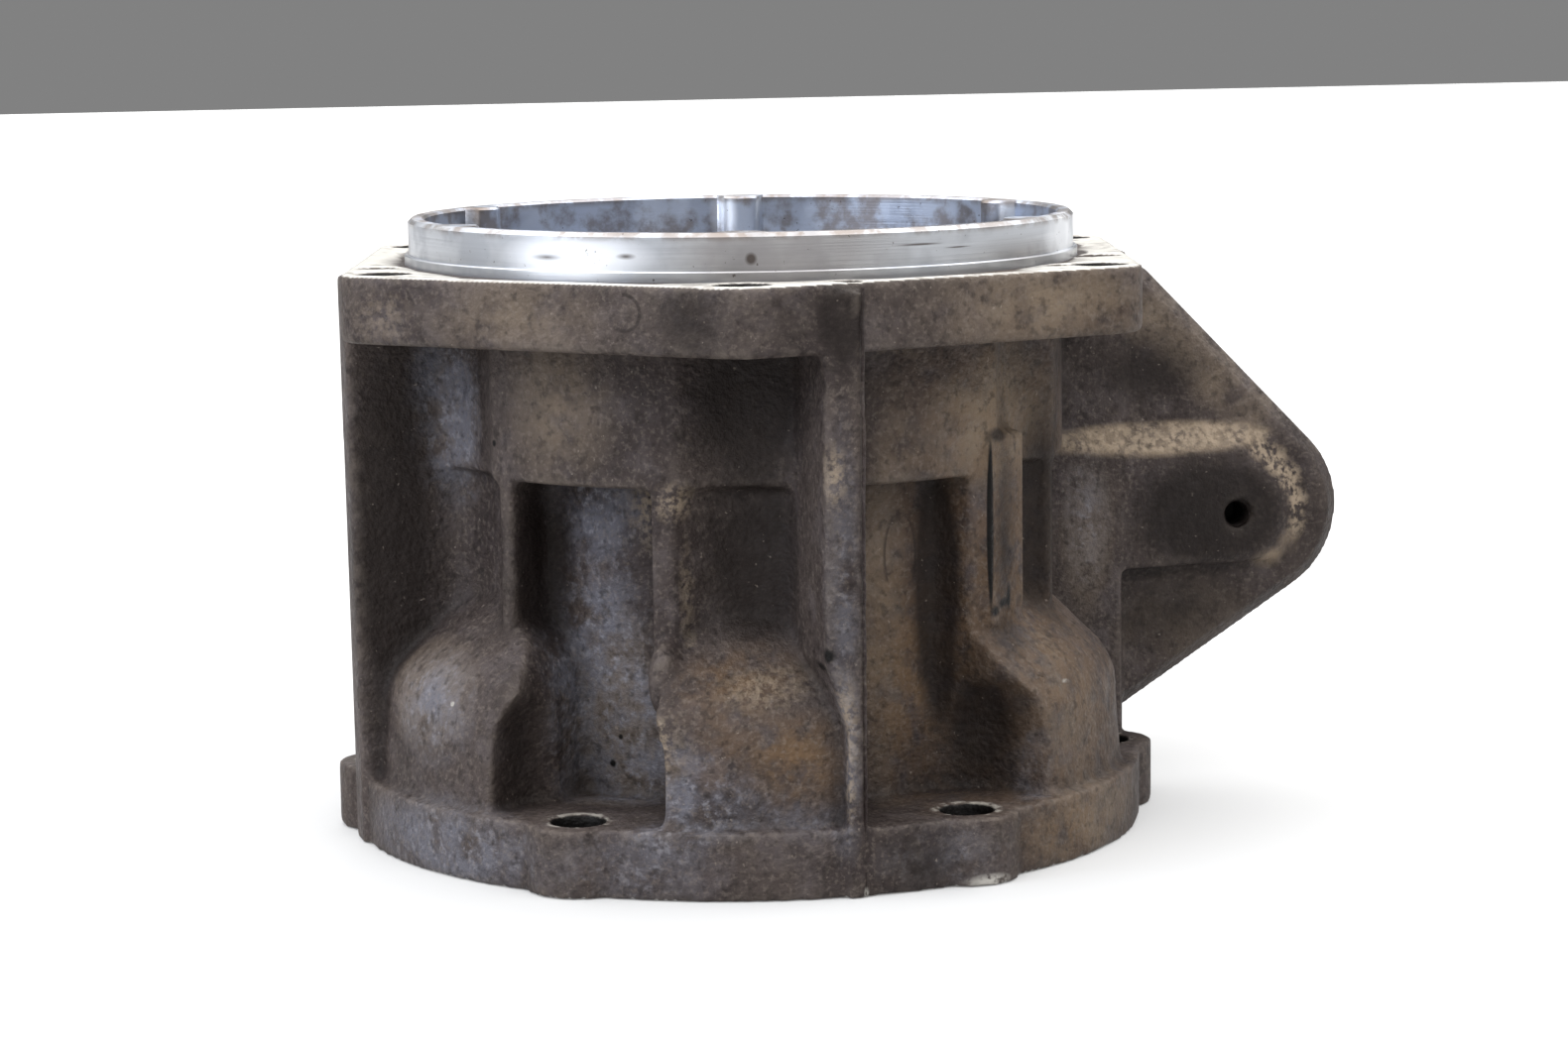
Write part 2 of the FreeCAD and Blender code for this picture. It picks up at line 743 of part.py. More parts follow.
def make_rib_step():
    """The +X rib is thicker in front below the pad's upper flank."""
    body = new_body("rib_step")
    sketch = new_sketch(body, "rib_step_side", "YZ_Plane", lift="drum_bore + 4")
    draw_polygon(sketch, [
        ("0", "0"),
        ("-step_face", "0"),
        ("-step_face", "step_top"),
        ("-side_rib_width / 2", "pad_high"),
        ("0", "pad_high"),
    ])
    padded(body, sketch, "rib_step_web", "parting_foot_radius - 1.4 - drum_bore - 4")
    return body


# Hollow

def mouth_plan():
    """Round mouth with six round ribs down its wall, in line with the front bolts."""
    ribs = [plan_disc(size("mouth_rib_radius"), polar(size("mouth_radius"), turn)) for _, turn in front_bolts()]
    return round_crests(minus(plan_disc(size("mouth_radius")), ribs), size("mouth_rib_round"))


def make_hollow():
    throat = revolved("throat", [
        ("0", "-1"),
        ("throat_radius", "-1"),
        ("throat_radius", "drum_bore_start"),
        ("drum_bore", "drum_bore_start + drum_bore - throat_radius"),
        ("drum_bore", "mouth_floor - mouth_step"),
        ("mouth_radius", "mouth_floor"),
        ("0", "mouth_floor"),
    ])
    mouth = prism("mouth", mouth_plan(), "mouth_floor - 0.5", "front_face + pilot_height + 1.5 - mouth_floor")
    wall = size("wall")
    walled = both_halves(lambda half: bolt_ways(half, wall)) + scallop_plans(wall)
    plan = minus(plan_disc(size("base_radius")), walled)
    chambers = prism("chambers", round_crests(plan, size("dome_round")), "-1", "drum_bottom")
    domes = common("dome_hollow", [make_bell("bell_hollow", "wall"), chambers])
    below = doc.addObject("Part::Cylinder", "foot_hollow")
    bind(below, Radius="throat_radius", Height="base_thickness")
    below.Placement = Placement(Vector(0, 0, -1), Rotation())
    return [throat, mouth, domes, below]


# Holes

def make_hole(name, radius, foot, height, spot, chamfered=("bottom", "top")):
    """Upright round cutter with a chamfer at the ends that come out on a face."""
    body = new_body(name)
    corners = [("0", foot), ("%s + hole_chamfer" % radius, foot), (radius, "%s + hole_chamfer" % foot)]
    if "bottom" not in chamfered:
        corners = [("0", foot), (radius, foot)]
    top = "%s + %s" % (foot, height)
    corners += [(radius, "%s - hole_chamfer" % top), ("%s + hole_chamfer" % radius, top), ("0", top)]
    sketch = new_sketch(body, name + "_profile", "XZ_Plane")
    draw_polygon(sketch, corners)
    turn = body.newObject("PartDesign::Revolution", name + "_turned")
    turn.Profile = sketch
    turn.ReferenceAxis = (sketch, ["V_Axis"])
    turn.Angle = 360.0
    body.Placement = Placement(spot, Rotation())
    return body


def make_holes():
    cutters = []
    for number, (centre, turn) in enumerate(base_bolts()):
        cutters.append(make_hole("base_hole_%d" % number, "base_hole_radius", "0", "base_thickness", centre))
    for number, (centre, turn) in enumerate(front_bolts()):
        cutters.append(make_hole("front_hole_%d" % number, "front_hole_radius", "front_flange_bottom",
                                 "(front_face - front_flange_bottom)", centre))
    blind = "(front_face - blind_depth)"
    for name, radius, reach, turn in (("dowel_front", "dowel_radius", 90.9, -91.0),
                                      ("dowel_right", "dowel_radius", 87.6, -49.2),
                                      ("oil_hole", "oil_hole_radius", 86.6, -27.6),
                                      ("side_hole", "side_hole_radius", 89.8, -176.8)):
        cutters.append(make_hole(name, radius, blind, "blind_depth", polar(reach, turn), ("top",)))
    return cutters


def make_bracket_hole():
    """Tapped hole through the bracket's pad, at its minor diameter, chamfered in front."""
    body = new_body("bracket_hole")
    sketch = new_sketch(body, "bracket_hole_profile", "XZ_Plane")
    face = "pad_face"
    draw_polygon(sketch, [
        ("0", "-bracket_back - 1"),
        ("bracket_hole_radius", "-bracket_back - 1"),
        ("bracket_hole_radius", face + " - bracket_hole_chamfer"),
        ("bracket_hole_radius + bracket_hole_chamfer", face),
        ("bracket_hole_radius + bracket_hole_chamfer", face + " + 1"),
        ("0", face + " + 1"),
    ])
    turn = body.newObject("PartDesign::Revolution", "bracket_hole_turned")
    turn.Profile = sketch
    turn.ReferenceAxis = (sketch, ["V_Axis"])
    turn.Angle = 360.0
    body.Placement = Placement(Vector(size("bracket_eye_reach"), 0, size("bracket_eye_height")),
                               Rotation(Vector(1, 0, 0), 90))
    return body


# Assembly of the one casting

low = prism("domes", bell_plan(), "base_thickness - 1", "drum_bottom - base_thickness")
waist = prism("waist", waist_plan(), "rib_foot", "drum_bottom + 1 - rib_foot")
drum = prism("drum", drum_plan(), "drum_bottom", "front_flange_bottom + 1 - drum_bottom")
parting_ribs = [
    make_front_rib("front_rib", "-90"),
    make_parting_rib("right_rib", "side_rib_width", "side_rib_width / 2", "0"),
    make_front_rib("rear_rib", "90"),
    make_parting_rib("left_rib", "side_rib_width", "side_rib_width / 2", "180"),
]
plaque = prism("plaque", plan_strip(size("floor_radius") / 2, size("plaque_face"), size("plaque_low"),
                                    size("plaque_high"), size("right_pull")),
               "plaque_bottom", "plaque_top - plaque_bottom")
domes = common("rounded_domes", [low, fused("bell_envelope", [make_bell("bell", "0")] + parting_ribs)])
cutters = [make_shoulder_cut("left_shoulder", size("left_pull")),
           make_shoulder_cut("rear_shoulder", size("left_pull") + HALF_TURN)]
for number, (centre, turn) in enumerate(base_bolts()):
    cutters += make_scallop(number, centre, turn)
domes = cut("scalloped_domes", domes, cutters)
outside = fused("outside", [domes, waist, drum, plaque, make_base_flange(), make_front_flange(),
                            make_pilot_ring(), make_bracket(), make_rib_step()] + parting_ribs)
ribbed = cut("hollowed", outside, make_hollow())
doc.recompute()
housing = cut("housing", ribbed, make_holes() + [make_bracket_hole()])
housing.Label = "housing"
doc.recompute()

for item in doc.Objects:
    if "Invalid" in item.State or "Error" in item.State:
        raise RuntimeError("%s failed: %s" % (item.Name, item.State))
if housing.Shape.isNull() or not housing.Shape.isValid():
    raise RuntimeError("the housing has no valid shape")
print("housing solids", len(housing.Shape.Solids), "volume", round(housing.Shape.Volume),
      "faces", len(housing.Shape.Faces), "box", housing.Shape.BoundBox)
os.makedirs("parts", exist_ok=True)
housing.Shape.exportStep("parts/housing.step")
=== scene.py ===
"""Studio scene of a cast transmission extension housing, dressed over its CAD solid."""

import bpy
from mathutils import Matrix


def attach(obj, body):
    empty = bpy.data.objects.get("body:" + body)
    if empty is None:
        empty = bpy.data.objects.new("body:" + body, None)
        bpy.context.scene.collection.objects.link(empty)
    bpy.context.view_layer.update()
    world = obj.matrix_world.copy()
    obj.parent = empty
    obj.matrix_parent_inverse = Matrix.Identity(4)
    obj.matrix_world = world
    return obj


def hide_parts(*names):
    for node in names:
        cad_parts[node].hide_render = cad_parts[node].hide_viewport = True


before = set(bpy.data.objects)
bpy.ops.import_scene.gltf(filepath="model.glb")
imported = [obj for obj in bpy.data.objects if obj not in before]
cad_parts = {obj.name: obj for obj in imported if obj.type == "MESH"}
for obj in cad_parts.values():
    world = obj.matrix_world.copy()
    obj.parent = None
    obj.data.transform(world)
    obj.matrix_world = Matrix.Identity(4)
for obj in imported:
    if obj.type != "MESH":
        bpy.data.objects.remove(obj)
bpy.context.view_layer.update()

import logging
import math
from dataclasses import dataclass
from enum import Enum

import bmesh
import bpy
import numpy as np
from mathutils import Matrix, Vector

LOG = logging.getLogger("extension_housing")
MM = 0.001
BOLTS = 6


def linear(code: str) -> tuple[float, float, float, float]:
    """Turns an sRGB hex value into linear light.

    Args:
        code: six hex digits after a hash.

    Returns:
        Red, green, blue and alpha, as the shader wants them.
    """
    parts = [int(code[start:start + 2], 16) / 255 for start in (1, 3, 5)]
    return (*(part / 12.92 if part <= 0.04045 else ((part + 0.055) / 1.055) ** 2.4 for part in parts), 1.0)


def add_node(tree: bpy.types.NodeTree, kind: str, settings: dict | None = None,
             inputs: dict | None = None) -> bpy.types.Node:
    """Adds a node with its settings and inputs.

    Args:
        tree: the node tree.
        kind: the node's type name.
        settings: attributes of the node.
        inputs: for each input, by name or number, a value or the output that feeds it.

    Returns:
        The new node.
    """
    made = tree.nodes.new(kind)
    for key, value in (settings or {}).items():
        setattr(made, key, value)
    for key, value in (inputs or {}).items():
        if isinstance(value, bpy.types.NodeSocket):
            tree.links.new(value, made.inputs[key])
        else:
            made.inputs[key].default_value = value
    return made


def new_material(name: str) -> tuple[bpy.types.Material, bpy.types.NodeTree, bpy.types.NodeSocket]:
    """Makes an empty material.

    Args:
        name: the material's name.

    Returns:
        The material, its node tree and its object coordinates.
    """
    material = bpy.data.materials.new(name)
    material.use_nodes = True
    tree = material.node_tree
    tree.nodes.clear()
    return material, tree, add_node(tree, "ShaderNodeTexCoord").outputs["Object"]


def add_surface(tree: bpy.types.NodeTree, inputs: dict) -> None:
    """Adds the shader with the given inputs and joins it to the material's output."""
    shader = add_node(tree, "ShaderNodeBsdfPrincipled", {}, inputs)
    add_node(tree, "ShaderNodeOutputMaterial", {}, {"Surface": shader.outputs[0]})


def add_piece(name: str, points: np.ndarray, faces: list, material: bpy.types.Material) -> bpy.types.Object:
    """Makes one rigid piece of the casting.

    Args:
        name: the piece's name.
        points: its points in rows, in millimetres.
        faces: the point numbers of each face.
        material: its material.

    Returns:
        The piece's object, in metres.
    """
    mesh = bpy.data.meshes.new(name)
    mesh.from_pydata((points * MM).tolist(), [], faces)
    mesh.materials.append(material)
    piece = bpy.data.objects.new(name, mesh)
    bpy.context.scene.collection.objects.link(piece)
    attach(piece, "root")
    LOG.info("%s: %d faces", name, len(mesh.polygons))
    return piece


def smooth_step(values: np.ndarray, low: float, high: float) -> np.ndarray:
    """Goes smoothly from 0 at low to 1 at high, as 3t^2 - 2t^3."""
    part = np.clip((values - low) / (high - low), 0.0, 1.0)
    return part * part * (3.0 - 2.0 * part)


def edge_pairs(mesh: bpy.types.Mesh) -> np.ndarray:
    """The two point numbers of each of the mesh's edges, as rows."""
    pairs = np.empty(len(mesh.edges) * 2, np.int32)
    mesh.edges.foreach_get("vertices", pairs)
    return pairs.reshape(-1, 2)


def neighbour_mean(pairs: np.ndarray, values: np.ndarray) -> np.ndarray:
    """The mean of each point's neighbours, for values in rows, over the given edges."""
    first, second = pairs.T
    size = len(values)
    total = [np.bincount(first, column[second], size) + np.bincount(second, column[first], size)
             for column in values.T]
    return np.stack(total, axis=1) / np.bincount(pairs.ravel(), minlength=size)[:, None]


class Paint(Enum):
    """What lies on the metal, with painted light and shade among it; POINT_PAINTS are painted on the skin's
    points, the others are patches.
    """

    CLEAN_AND_HIGHLIGHT = "clean"
    OCHRE = "ochre"
    SOOT_AND_SHADE = "soot"
    DUST_AND_HIGHLIGHT = "dust"
    CRUST_AND_HIGHLIGHT = "crust"
    BARE = "bare"
    PIT_AND_SHADE = "pit"
    ARC = "arc"
    SEAT_AND_HIGHLIGHT = "seat"
    MILLED = "milled"
    HOLLOW_SHADE = "hollow_shade"
    CREST_AND_HIGHLIGHT = "crest"
    INSIDE = "inside"


POINT_PAINTS = (Paint.MILLED, Paint.HOLLOW_SHADE, Paint.CREST_AND_HIGHLIGHT, Paint.INSIDE)


@dataclass(frozen=True)
class Grain:
    """A noise pattern cut to a mask: its feature size in metres and the levels it fades in between."""

    size: float
    low: float
    high: float
    detail: float = 3.0
    roughness: float = 0.6

    def mask(self, tree: bpy.types.NodeTree, place: bpy.types.NodeSocket) -> bpy.types.NodeSocket:
        """Adds the pattern's nodes.

        Args:
            tree: the material's node tree.
            place: the coordinates it reads.

        Returns:
            The mask, from 0 to 1.
        """
        noise = add_node(tree, "ShaderNodeTexNoise", {},
                         {"Vector": place, "Scale": 1.0 / self.size, "Detail": self.detail,
                          "Roughness": self.roughness})
        ramp = add_node(tree, "ShaderNodeMapRange", {"interpolation_type": "SMOOTHSTEP"},
                        {0: noise.outputs[0], 1: self.low, 2: self.high})
        return ramp.outputs[0]


@dataclass(frozen=True)
class Layer:
    """One colour laid over the others where its paint and its grain both show."""

    colour: str
    strength: float
    grain: Grain | None = None
    paint: Paint | None = None


@dataclass(frozen=True)
class Patch:
    """A soft-edged mark: its paint, centre and half sizes in millimetres, and its strength.

    At strength 1 it is full over its inner half and fades to its rim. A greater strength gives a
    sharper rim, and a strength below 0 takes the mark out of those before it.
    """

    paint: Paint
    centre: tuple[float, float, float]
    reach: tuple[float, float, float]
    strength: float = 1.0

    def mask(self, tree: bpy.types.NodeTree, place: bpy.types.NodeSocket,
             before: bpy.types.NodeSocket | float) -> bpy.types.NodeSocket:
        """Adds the mark to a mask.

        Args:
            tree: the material's node tree.
            place: the coordinates it reads.
            before: the mask so far.

        Returns:
            The mask with the mark.
        """
        centre, reach = ([part * MM for part in parts] for parts in (self.centre, self.reach))
        local = add_node(tree, "ShaderNodeMapping", {"vector_type": "TEXTURE"},
                         {0: place, 1: centre, 3: reach})
        ball = add_node(tree, "ShaderNodeTexGradient", {"gradient_type": "SPHERICAL"}, {0: local.outputs[0]})
        return add_node(tree, "ShaderNodeMath", {"operation": "MULTIPLY_ADD", "use_clamp": True},
                        {0: ball.outputs[1], 1: 2.0 * self.strength, 2: before}).outputs[0]


def patch_masks(tree: bpy.types.NodeTree, place: bpy.types.NodeSocket,
                patches: tuple[Patch, ...]) -> dict[Paint, bpy.types.NodeSocket]:
    """Adds the marks' nodes, and returns one mask for each paint."""
    masks = {}
    for patch in patches:
        masks[patch.paint] = patch.mask(tree, place, masks.get(patch.paint, 0.0))
    return masks


PATCHES: tuple[Patch, ...] = (
    Patch(Paint.CLEAN_AND_HIGHLIGHT, (-74.0, -8.5, 104.0), (12.0, 14.0, 26.0), 1.2),
    Patch(Paint.CLEAN_AND_HIGHLIGHT, (-46.0, -40.0, 84.0), (16.0, 16.0, 14.0), 0.7),
    Patch(Paint.CLEAN_AND_HIGHLIGHT, (-47.0, -38.0, 42.0), (18.0, 18.0, 42.0), 0.9),
    Patch(Paint.CLEAN_AND_HIGHLIGHT, (-40.0, -84.0, 22.0), (15.0, 10.0, 16.0), 0.75),
    Patch(Paint.CLEAN_AND_HIGHLIGHT, (-28.0, -87.0, 20.0), (17.0, 8.0, 9.0), 0.6),
    Patch(Paint.CLEAN_AND_HIGHLIGHT, (-12.0, -91.0, 17.0), (10.0, 8.0, 6.0), 0.4),
    Patch(Paint.CLEAN_AND_HIGHLIGHT, (47.0, -75.0, 20.0), (6.0, 8.0, 16.0), 0.5),
    Patch(Paint.CLEAN_AND_HIGHLIGHT, (-40.0, -46.0, 26.0), (13.0, 13.0, 24.0), 0.8),
    Patch(Paint.CLEAN_AND_HIGHLIGHT, (-78.0, -14.0, 100.0), (8.0, 10.0, 20.0), 0.5),
    Patch(Paint.CLEAN_AND_HIGHLIGHT, (-84.0, -45.0, 7.0), (26.0, 44.0, 12.0), 0.8),
    Patch(Paint.CLEAN_AND_HIGHLIGHT, (-50.0, -83.0, 7.0), (24.0, 18.0, 12.0), 0.35),
    Patch(Paint.CLEAN_AND_HIGHLIGHT, (-84.0, -30.0, 38.0), (12.0, 22.0, 16.0), 0.6),
    Patch(Paint.CLEAN_AND_HIGHLIGHT, (-5.0, -98.0, 66.0), (5.0, 6.0, 50.0), 0.4),
    Patch(Paint.CLEAN_AND_HIGHLIGHT, (-5.0, -98.0, 28.0), (5.0, 6.0, 26.0), 0.5),
    Patch(Paint.CLEAN_AND_HIGHLIGHT, (20.0, -95.0, 7.0), (20.0, 12.0, 10.0), 0.3),
    Patch(Paint.OCHRE, (-13.0, -90.0, 30.0), (13.0, 8.0, 14.0), 0.6),
    Patch(Paint.OCHRE, (-30.0, -88.0, 34.0), (18.0, 8.0, 12.0), 0.3),
    Patch(Paint.OCHRE, (60.0, -86.0, 8.0), (24.0, 22.0, 10.0), 0.35),
    Patch(Paint.OCHRE, (22.0, -66.0, 40.0), (16.0, 12.0, 30.0), 0.3),
    Patch(Paint.OCHRE, (52.0, -64.0, 64.0), (60.0, 52.0, 96.0), 0.4),
    Patch(Paint.DUST_AND_HIGHLIGHT, (-84.0, -26.0, 40.0), (14.0, 24.0, 16.0), 0.55),
    Patch(Paint.DUST_AND_HIGHLIGHT, (58.0, -68.0, 34.0), (20.0, 18.0, 22.0), 0.25),
    Patch(Paint.DUST_AND_HIGHLIGHT, (14.0, -72.0, 62.0), (9.0, 14.0, 58.0), 0.6),
    Patch(Paint.DUST_AND_HIGHLIGHT, (-76.0, -12.0, 102.0), (10.0, 12.0, 24.0), 0.25),
    Patch(Paint.DUST_AND_HIGHLIGHT, (112.0, -5.0, 42.0), (26.0, 6.0, 14.0), 0.25),
    Patch(Paint.DUST_AND_HIGHLIGHT, (-43.0, -43.0, 30.0), (15.0, 15.0, 32.0), 0.9),
    Patch(Paint.DUST_AND_HIGHLIGHT, (50.0, -84.0, 130.0), (44.0, 20.0, 14.0), 0.5),
    Patch(Paint.DUST_AND_HIGHLIGHT, (68.0, -76.0, 8.0), (34.0, 30.0, 14.0), 0.45),
    Patch(Paint.DUST_AND_HIGHLIGHT, (-72.0, -62.0, 129.0), (28.0, 28.0, 14.0), 0.35),
    Patch(Paint.DUST_AND_HIGHLIGHT, (-60.0, -52.0, 108.0), (20.0, 16.0, 22.0), 0.4),
    # Painted highlights on the bracket: its lit top bevel, its nose and its diagonal edge.
    Patch(Paint.CRUST_AND_HIGHLIGHT, (106.0, -6.0, 88.5), (34.0, 6.0, 4.4), 1.5),
    Patch(Paint.DUST_AND_HIGHLIGHT, (106.0, -6.0, 88.2), (36.0, 6.0, 5.2), 1.6),
    Patch(Paint.CRUST_AND_HIGHLIGHT, (134.0, -6.0, 85.6), (5.0, 5.0, 5.0), 1.0),
    Patch(Paint.CRUST_AND_HIGHLIGHT, (138.5, -6.0, 81.4), (5.0, 5.0, 5.0), 1.0),
    Patch(Paint.CRUST_AND_HIGHLIGHT, (142.4, -6.0, 76.6), (4.6, 5.0, 5.0), 1.0),
    Patch(Paint.CRUST_AND_HIGHLIGHT, (144.6, -6.0, 70.6), (4.0, 5.0, 5.0), 0.9),
    Patch(Paint.CRUST_AND_HIGHLIGHT, (144.4, -6.0, 64.6), (4.0, 5.0, 5.0), 0.7),
    Patch(Paint.DUST_AND_HIGHLIGHT, (141.8, -6.0, 60.0), (4.5, 5.0, 4.5), 0.9),
    Patch(Paint.DUST_AND_HIGHLIGHT, (136.5, -6.0, 56.4), (6.0, 5.0, 3.6), 0.8),
    Patch(Paint.DUST_AND_HIGHLIGHT, (104.0, -2.0, 118.5), (10.0, 7.0, 9.0), 0.45),
    Patch(Paint.DUST_AND_HIGHLIGHT, (113.0, -2.0, 110.5), (10.0, 7.0, 9.0), 0.45),
    Patch(Paint.DUST_AND_HIGHLIGHT, (122.0, -2.0, 102.5), (10.0, 7.0, 9.0), 0.45),
    Patch(Paint.DUST_AND_HIGHLIGHT, (131.0, -2.0, 94.5), (10.0, 7.0, 9.0), 0.35),
    Patch(Paint.DUST_AND_HIGHLIGHT, (86.0, -8.5, 66.0), (8.0, 6.0, 24.0), 0.4),
    Patch(Paint.CLEAN_AND_HIGHLIGHT, (86.0, -8.5, 70.0), (7.0, 6.0, 20.0), 0.4),
    Patch(Paint.DUST_AND_HIGHLIGHT, (42.0, -58.0, 102.0), (32.0, 26.0, 20.0), 0.9),
    Patch(Paint.CRUST_AND_HIGHLIGHT, (-35.0, -67.0, 87.0), (6.0, 5.0, 6.0), 0.6),
    Patch(Paint.CRUST_AND_HIGHLIGHT, (-36.0, -50.0, 84.0), (7.0, 8.0, 12.0), 0.5),
    Patch(Paint.OCHRE, (-24.0, -78.0, 46.0), (20.0, 12.0, 14.0), 0.45),
    Patch(Paint.CRUST_AND_HIGHLIGHT, (-5.0, -97.0, 24.0), (3.0, 4.0, 10.0), 0.6),
    Patch(Paint.CRUST_AND_HIGHLIGHT, (-43.0, -80.0, 32.0), (3.0, 3.0, 14.0), 0.4),
    Patch(Paint.CRUST_AND_HIGHLIGHT, (-7.0, -98.0, 95.0), (4.0, 4.0, 9.0), 0.45),
    Patch(Paint.CRUST_AND_HIGHLIGHT, (-32.0, -68.0, 66.0), (3.0, 3.0, 18.0), 0.45),
    Patch(Paint.CRUST_AND_HIGHLIGHT, (-66.0, -56.0, 100.0), (10.0, 8.0, 14.0), 0.25),
    Patch(Paint.CRUST_AND_HIGHLIGHT, (-46.0, -82.0, 34.0), (12.0, 8.0, 12.0), 0.25),
    Patch(Paint.CRUST_AND_HIGHLIGHT, (20.0, -80.0, 122.0), (20.0, 8.0, 6.0), 0.3),
    Patch(Paint.CRUST_AND_HIGHLIGHT, (56.0, -62.0, 60.0), (8.0, 8.0, 18.0), 0.3),
    Patch(Paint.CRUST_AND_HIGHLIGHT, (-92.0, -30.0, 128.0), (10.0, 14.0, 9.0), 0.3),
    Patch(Paint.CRUST_AND_HIGHLIGHT, (-20.0, -84.0, 48.0), (14.0, 8.0, 8.0), 0.4),
    Patch(Paint.CRUST_AND_HIGHLIGHT, (-5.0, -97.0, 38.0), (4.0, 4.0, 16.0), 0.5),
    # Soot, and painted shade in recesses, under the upper flange and on the bracket's faces turned from the
    # light.
    Patch(Paint.SOOT_AND_SHADE, (-18.0, -70.0, 108.0), (18.0, 14.0, 22.0), 1.0),
    Patch(Paint.SOOT_AND_SHADE, (-16.0, -68.0, 72.0), (17.0, 10.0, 26.0), 1.0),
    Patch(Paint.SOOT_AND_SHADE, (28.0, -61.0, 64.0), (7.0, 9.0, 36.0), 1.4),
    Patch(Paint.SOOT_AND_SHADE, (-24.0, -90.0, 20.0), (22.0, 8.0, 8.0), 0.18),
    Patch(Paint.SOOT_AND_SHADE, (-5.0, -98.0, 70.0), (6.0, 5.0, 44.0), 0.14),
    Patch(Paint.SOOT_AND_SHADE, (-4.0, -98.0, 130.0), (7.0, 6.0, 16.0), 1.0),
    Patch(Paint.SOOT_AND_SHADE, (-26.0, -92.0, 129.0), (30.0, 10.0, 14.0), 0.8),
    Patch(Paint.SOOT_AND_SHADE, (-68.0, -48.0, 28.0), (10.0, 12.0, 24.0), 0.6),
    Patch(Paint.SOOT_AND_SHADE, (-60.0, -32.0, 66.0), (11.0, 13.0, 26.0), 1.0),
    Patch(Paint.SOOT_AND_SHADE, (-88.0, -5.0, 72.0), (14.0, 6.0, 66.0), 1.0),
    Patch(Paint.SOOT_AND_SHADE, (40.0, -62.0, 34.0), (15.0, 14.0, 24.0), 1.0),
    Patch(Paint.SOOT_AND_SHADE, (120.0, -10.0, 69.0), (26.0, 8.0, 18.0), 1.4),
    Patch(Paint.SOOT_AND_SHADE, (104.0, -5.0, 105.0), (20.0, 5.0, 12.0), 0.7),
    Patch(Paint.SOOT_AND_SHADE, (146.0, -2.0, 66.0), (20.0, 4.0, 30.0), 0.4),
    Patch(Paint.SOOT_AND_SHADE, (60.0, -44.0, 76.0), (14.0, 12.0, 32.0), 1.0),
    Patch(Paint.SOOT_AND_SHADE, (34.0, -56.0, 66.0), (10.0, 11.0, 34.0), 1.2),
    Patch(Paint.SOOT_AND_SHADE, (45.0, -62.5, 74.0), (7.0, 7.0, 30.0), 0.5),
    Patch(Paint.PIT_AND_SHADE, (40.1, -67.3, 78.0), (1.2, 1.2, 23.0), 2.0),
    Patch(Paint.ARC, (-49.5, -81.3, 131.2), (4.5, 4.5, 4.5), 8.0),
    Patch(Paint.ARC, (-49.5, -81.3, 131.2), (3.7, 3.7, 3.7), -8.0),
    Patch(Paint.ARC, (-53.0, -78.0, 132.8), (5.2, 5.2, 5.2), -8.0),
    Patch(Paint.ARC, (19.0, -64.3, 71.6), (5.0, 5.0, 10.8), 4.0),
    Patch(Paint.ARC, (19.0, -64.3, 71.6), (4.1, 4.1, 9.8), -8.0),
    Patch(Paint.ARC, (19.0, -64.3, 58.0), (9.0, 9.0, 9.0), -4.0),
    Patch(Paint.SEAT_AND_HIGHLIGHT, (64.8, -64.7, 25.6), (1.9, 1.9, 1.9), 0.7),
    Patch(Paint.SEAT_AND_HIGHLIGHT, (64.8, -64.7, 25.6), (1.2, 1.2, 1.2), -8.0),
    Patch(Paint.BARE, (61.3, -65.0, 42.6), (1.4, 1.4, 0.9), 0.5),
    Patch(Paint.BARE, (57.4, -67.6, 40.4), (2.4, 1.6, 0.6), 0.35),
    Patch(Paint.PIT_AND_SHADE, (44.5, -63.0, 59.0), (3.4, 3.4, 1.3), 0.9),
    # Painted shade over the bracket's pad.
    Patch(Paint.PIT_AND_SHADE, (118.0, -10.0, 69.0), (24.0, 8.0, 15.0), 0.22),
    Patch(Paint.SOOT_AND_SHADE, (43.0, -64.5, 98.5), (6.0, 6.0, 2.2), 0.9),
    Patch(Paint.PIT_AND_SHADE, (46.5, -61.0, 60.0), (1.2, 1.2, 4.0), 0.9),
    Patch(Paint.PIT_AND_SHADE, (41.5, -66.0, 57.5), (2.4, 2.4, 1.6), 0.9),
    # Soot, and painted shade, below the bracket and by the lower flange.
    Patch(Paint.SOOT_AND_SHADE, (112.0, -4.0, 44.0), (30.0, 6.0, 16.0), 0.5),
    Patch(Paint.SOOT_AND_SHADE, (14.0, -95.0, 5.0), (12.0, 8.0, 12.0), 0.5),
    Patch(Paint.BARE, (30.0, -96.0, 0.5), (7.5, 5.0, 2.6), 0.8),
    Patch(Paint.BARE, (-81.4, -38.4, 38.8), (0.9, 0.9, 0.7), 0.9),
    Patch(Paint.BARE, (0.0, -97.0, 0.8), (0.8, 3.0, 1.8), 0.6),
    # Painted shade in the bracket's threaded hole.
    Patch(Paint.PIT_AND_SHADE, (126.9, 2.0, 68.4), (4.4, 12.0, 4.4), 3.0),
    Patch(Paint.PIT_AND_SHADE, (-69.3, -34.4, 98.3), (0.9, 0.9, 1.0), 1.0),
    Patch(Paint.PIT_AND_SHADE, (-8.7, -96.8, 55.1), (2.2, 2.2, 2.0), 1.0),
    Patch(Paint.PIT_AND_SHADE, (-8.5, -92.0, 52.0), (2.6, 4.0, 1.4), 0.8),
    Patch(Paint.PIT_AND_SHADE, (-44.4, -41.8, 22.9), (1.1, 1.1, 1.1), 1.0),
    Patch(Paint.PIT_AND_SHADE, (-42.8, -43.4, 29.4), (0.8, 0.8, 0.8), 1.0),
)


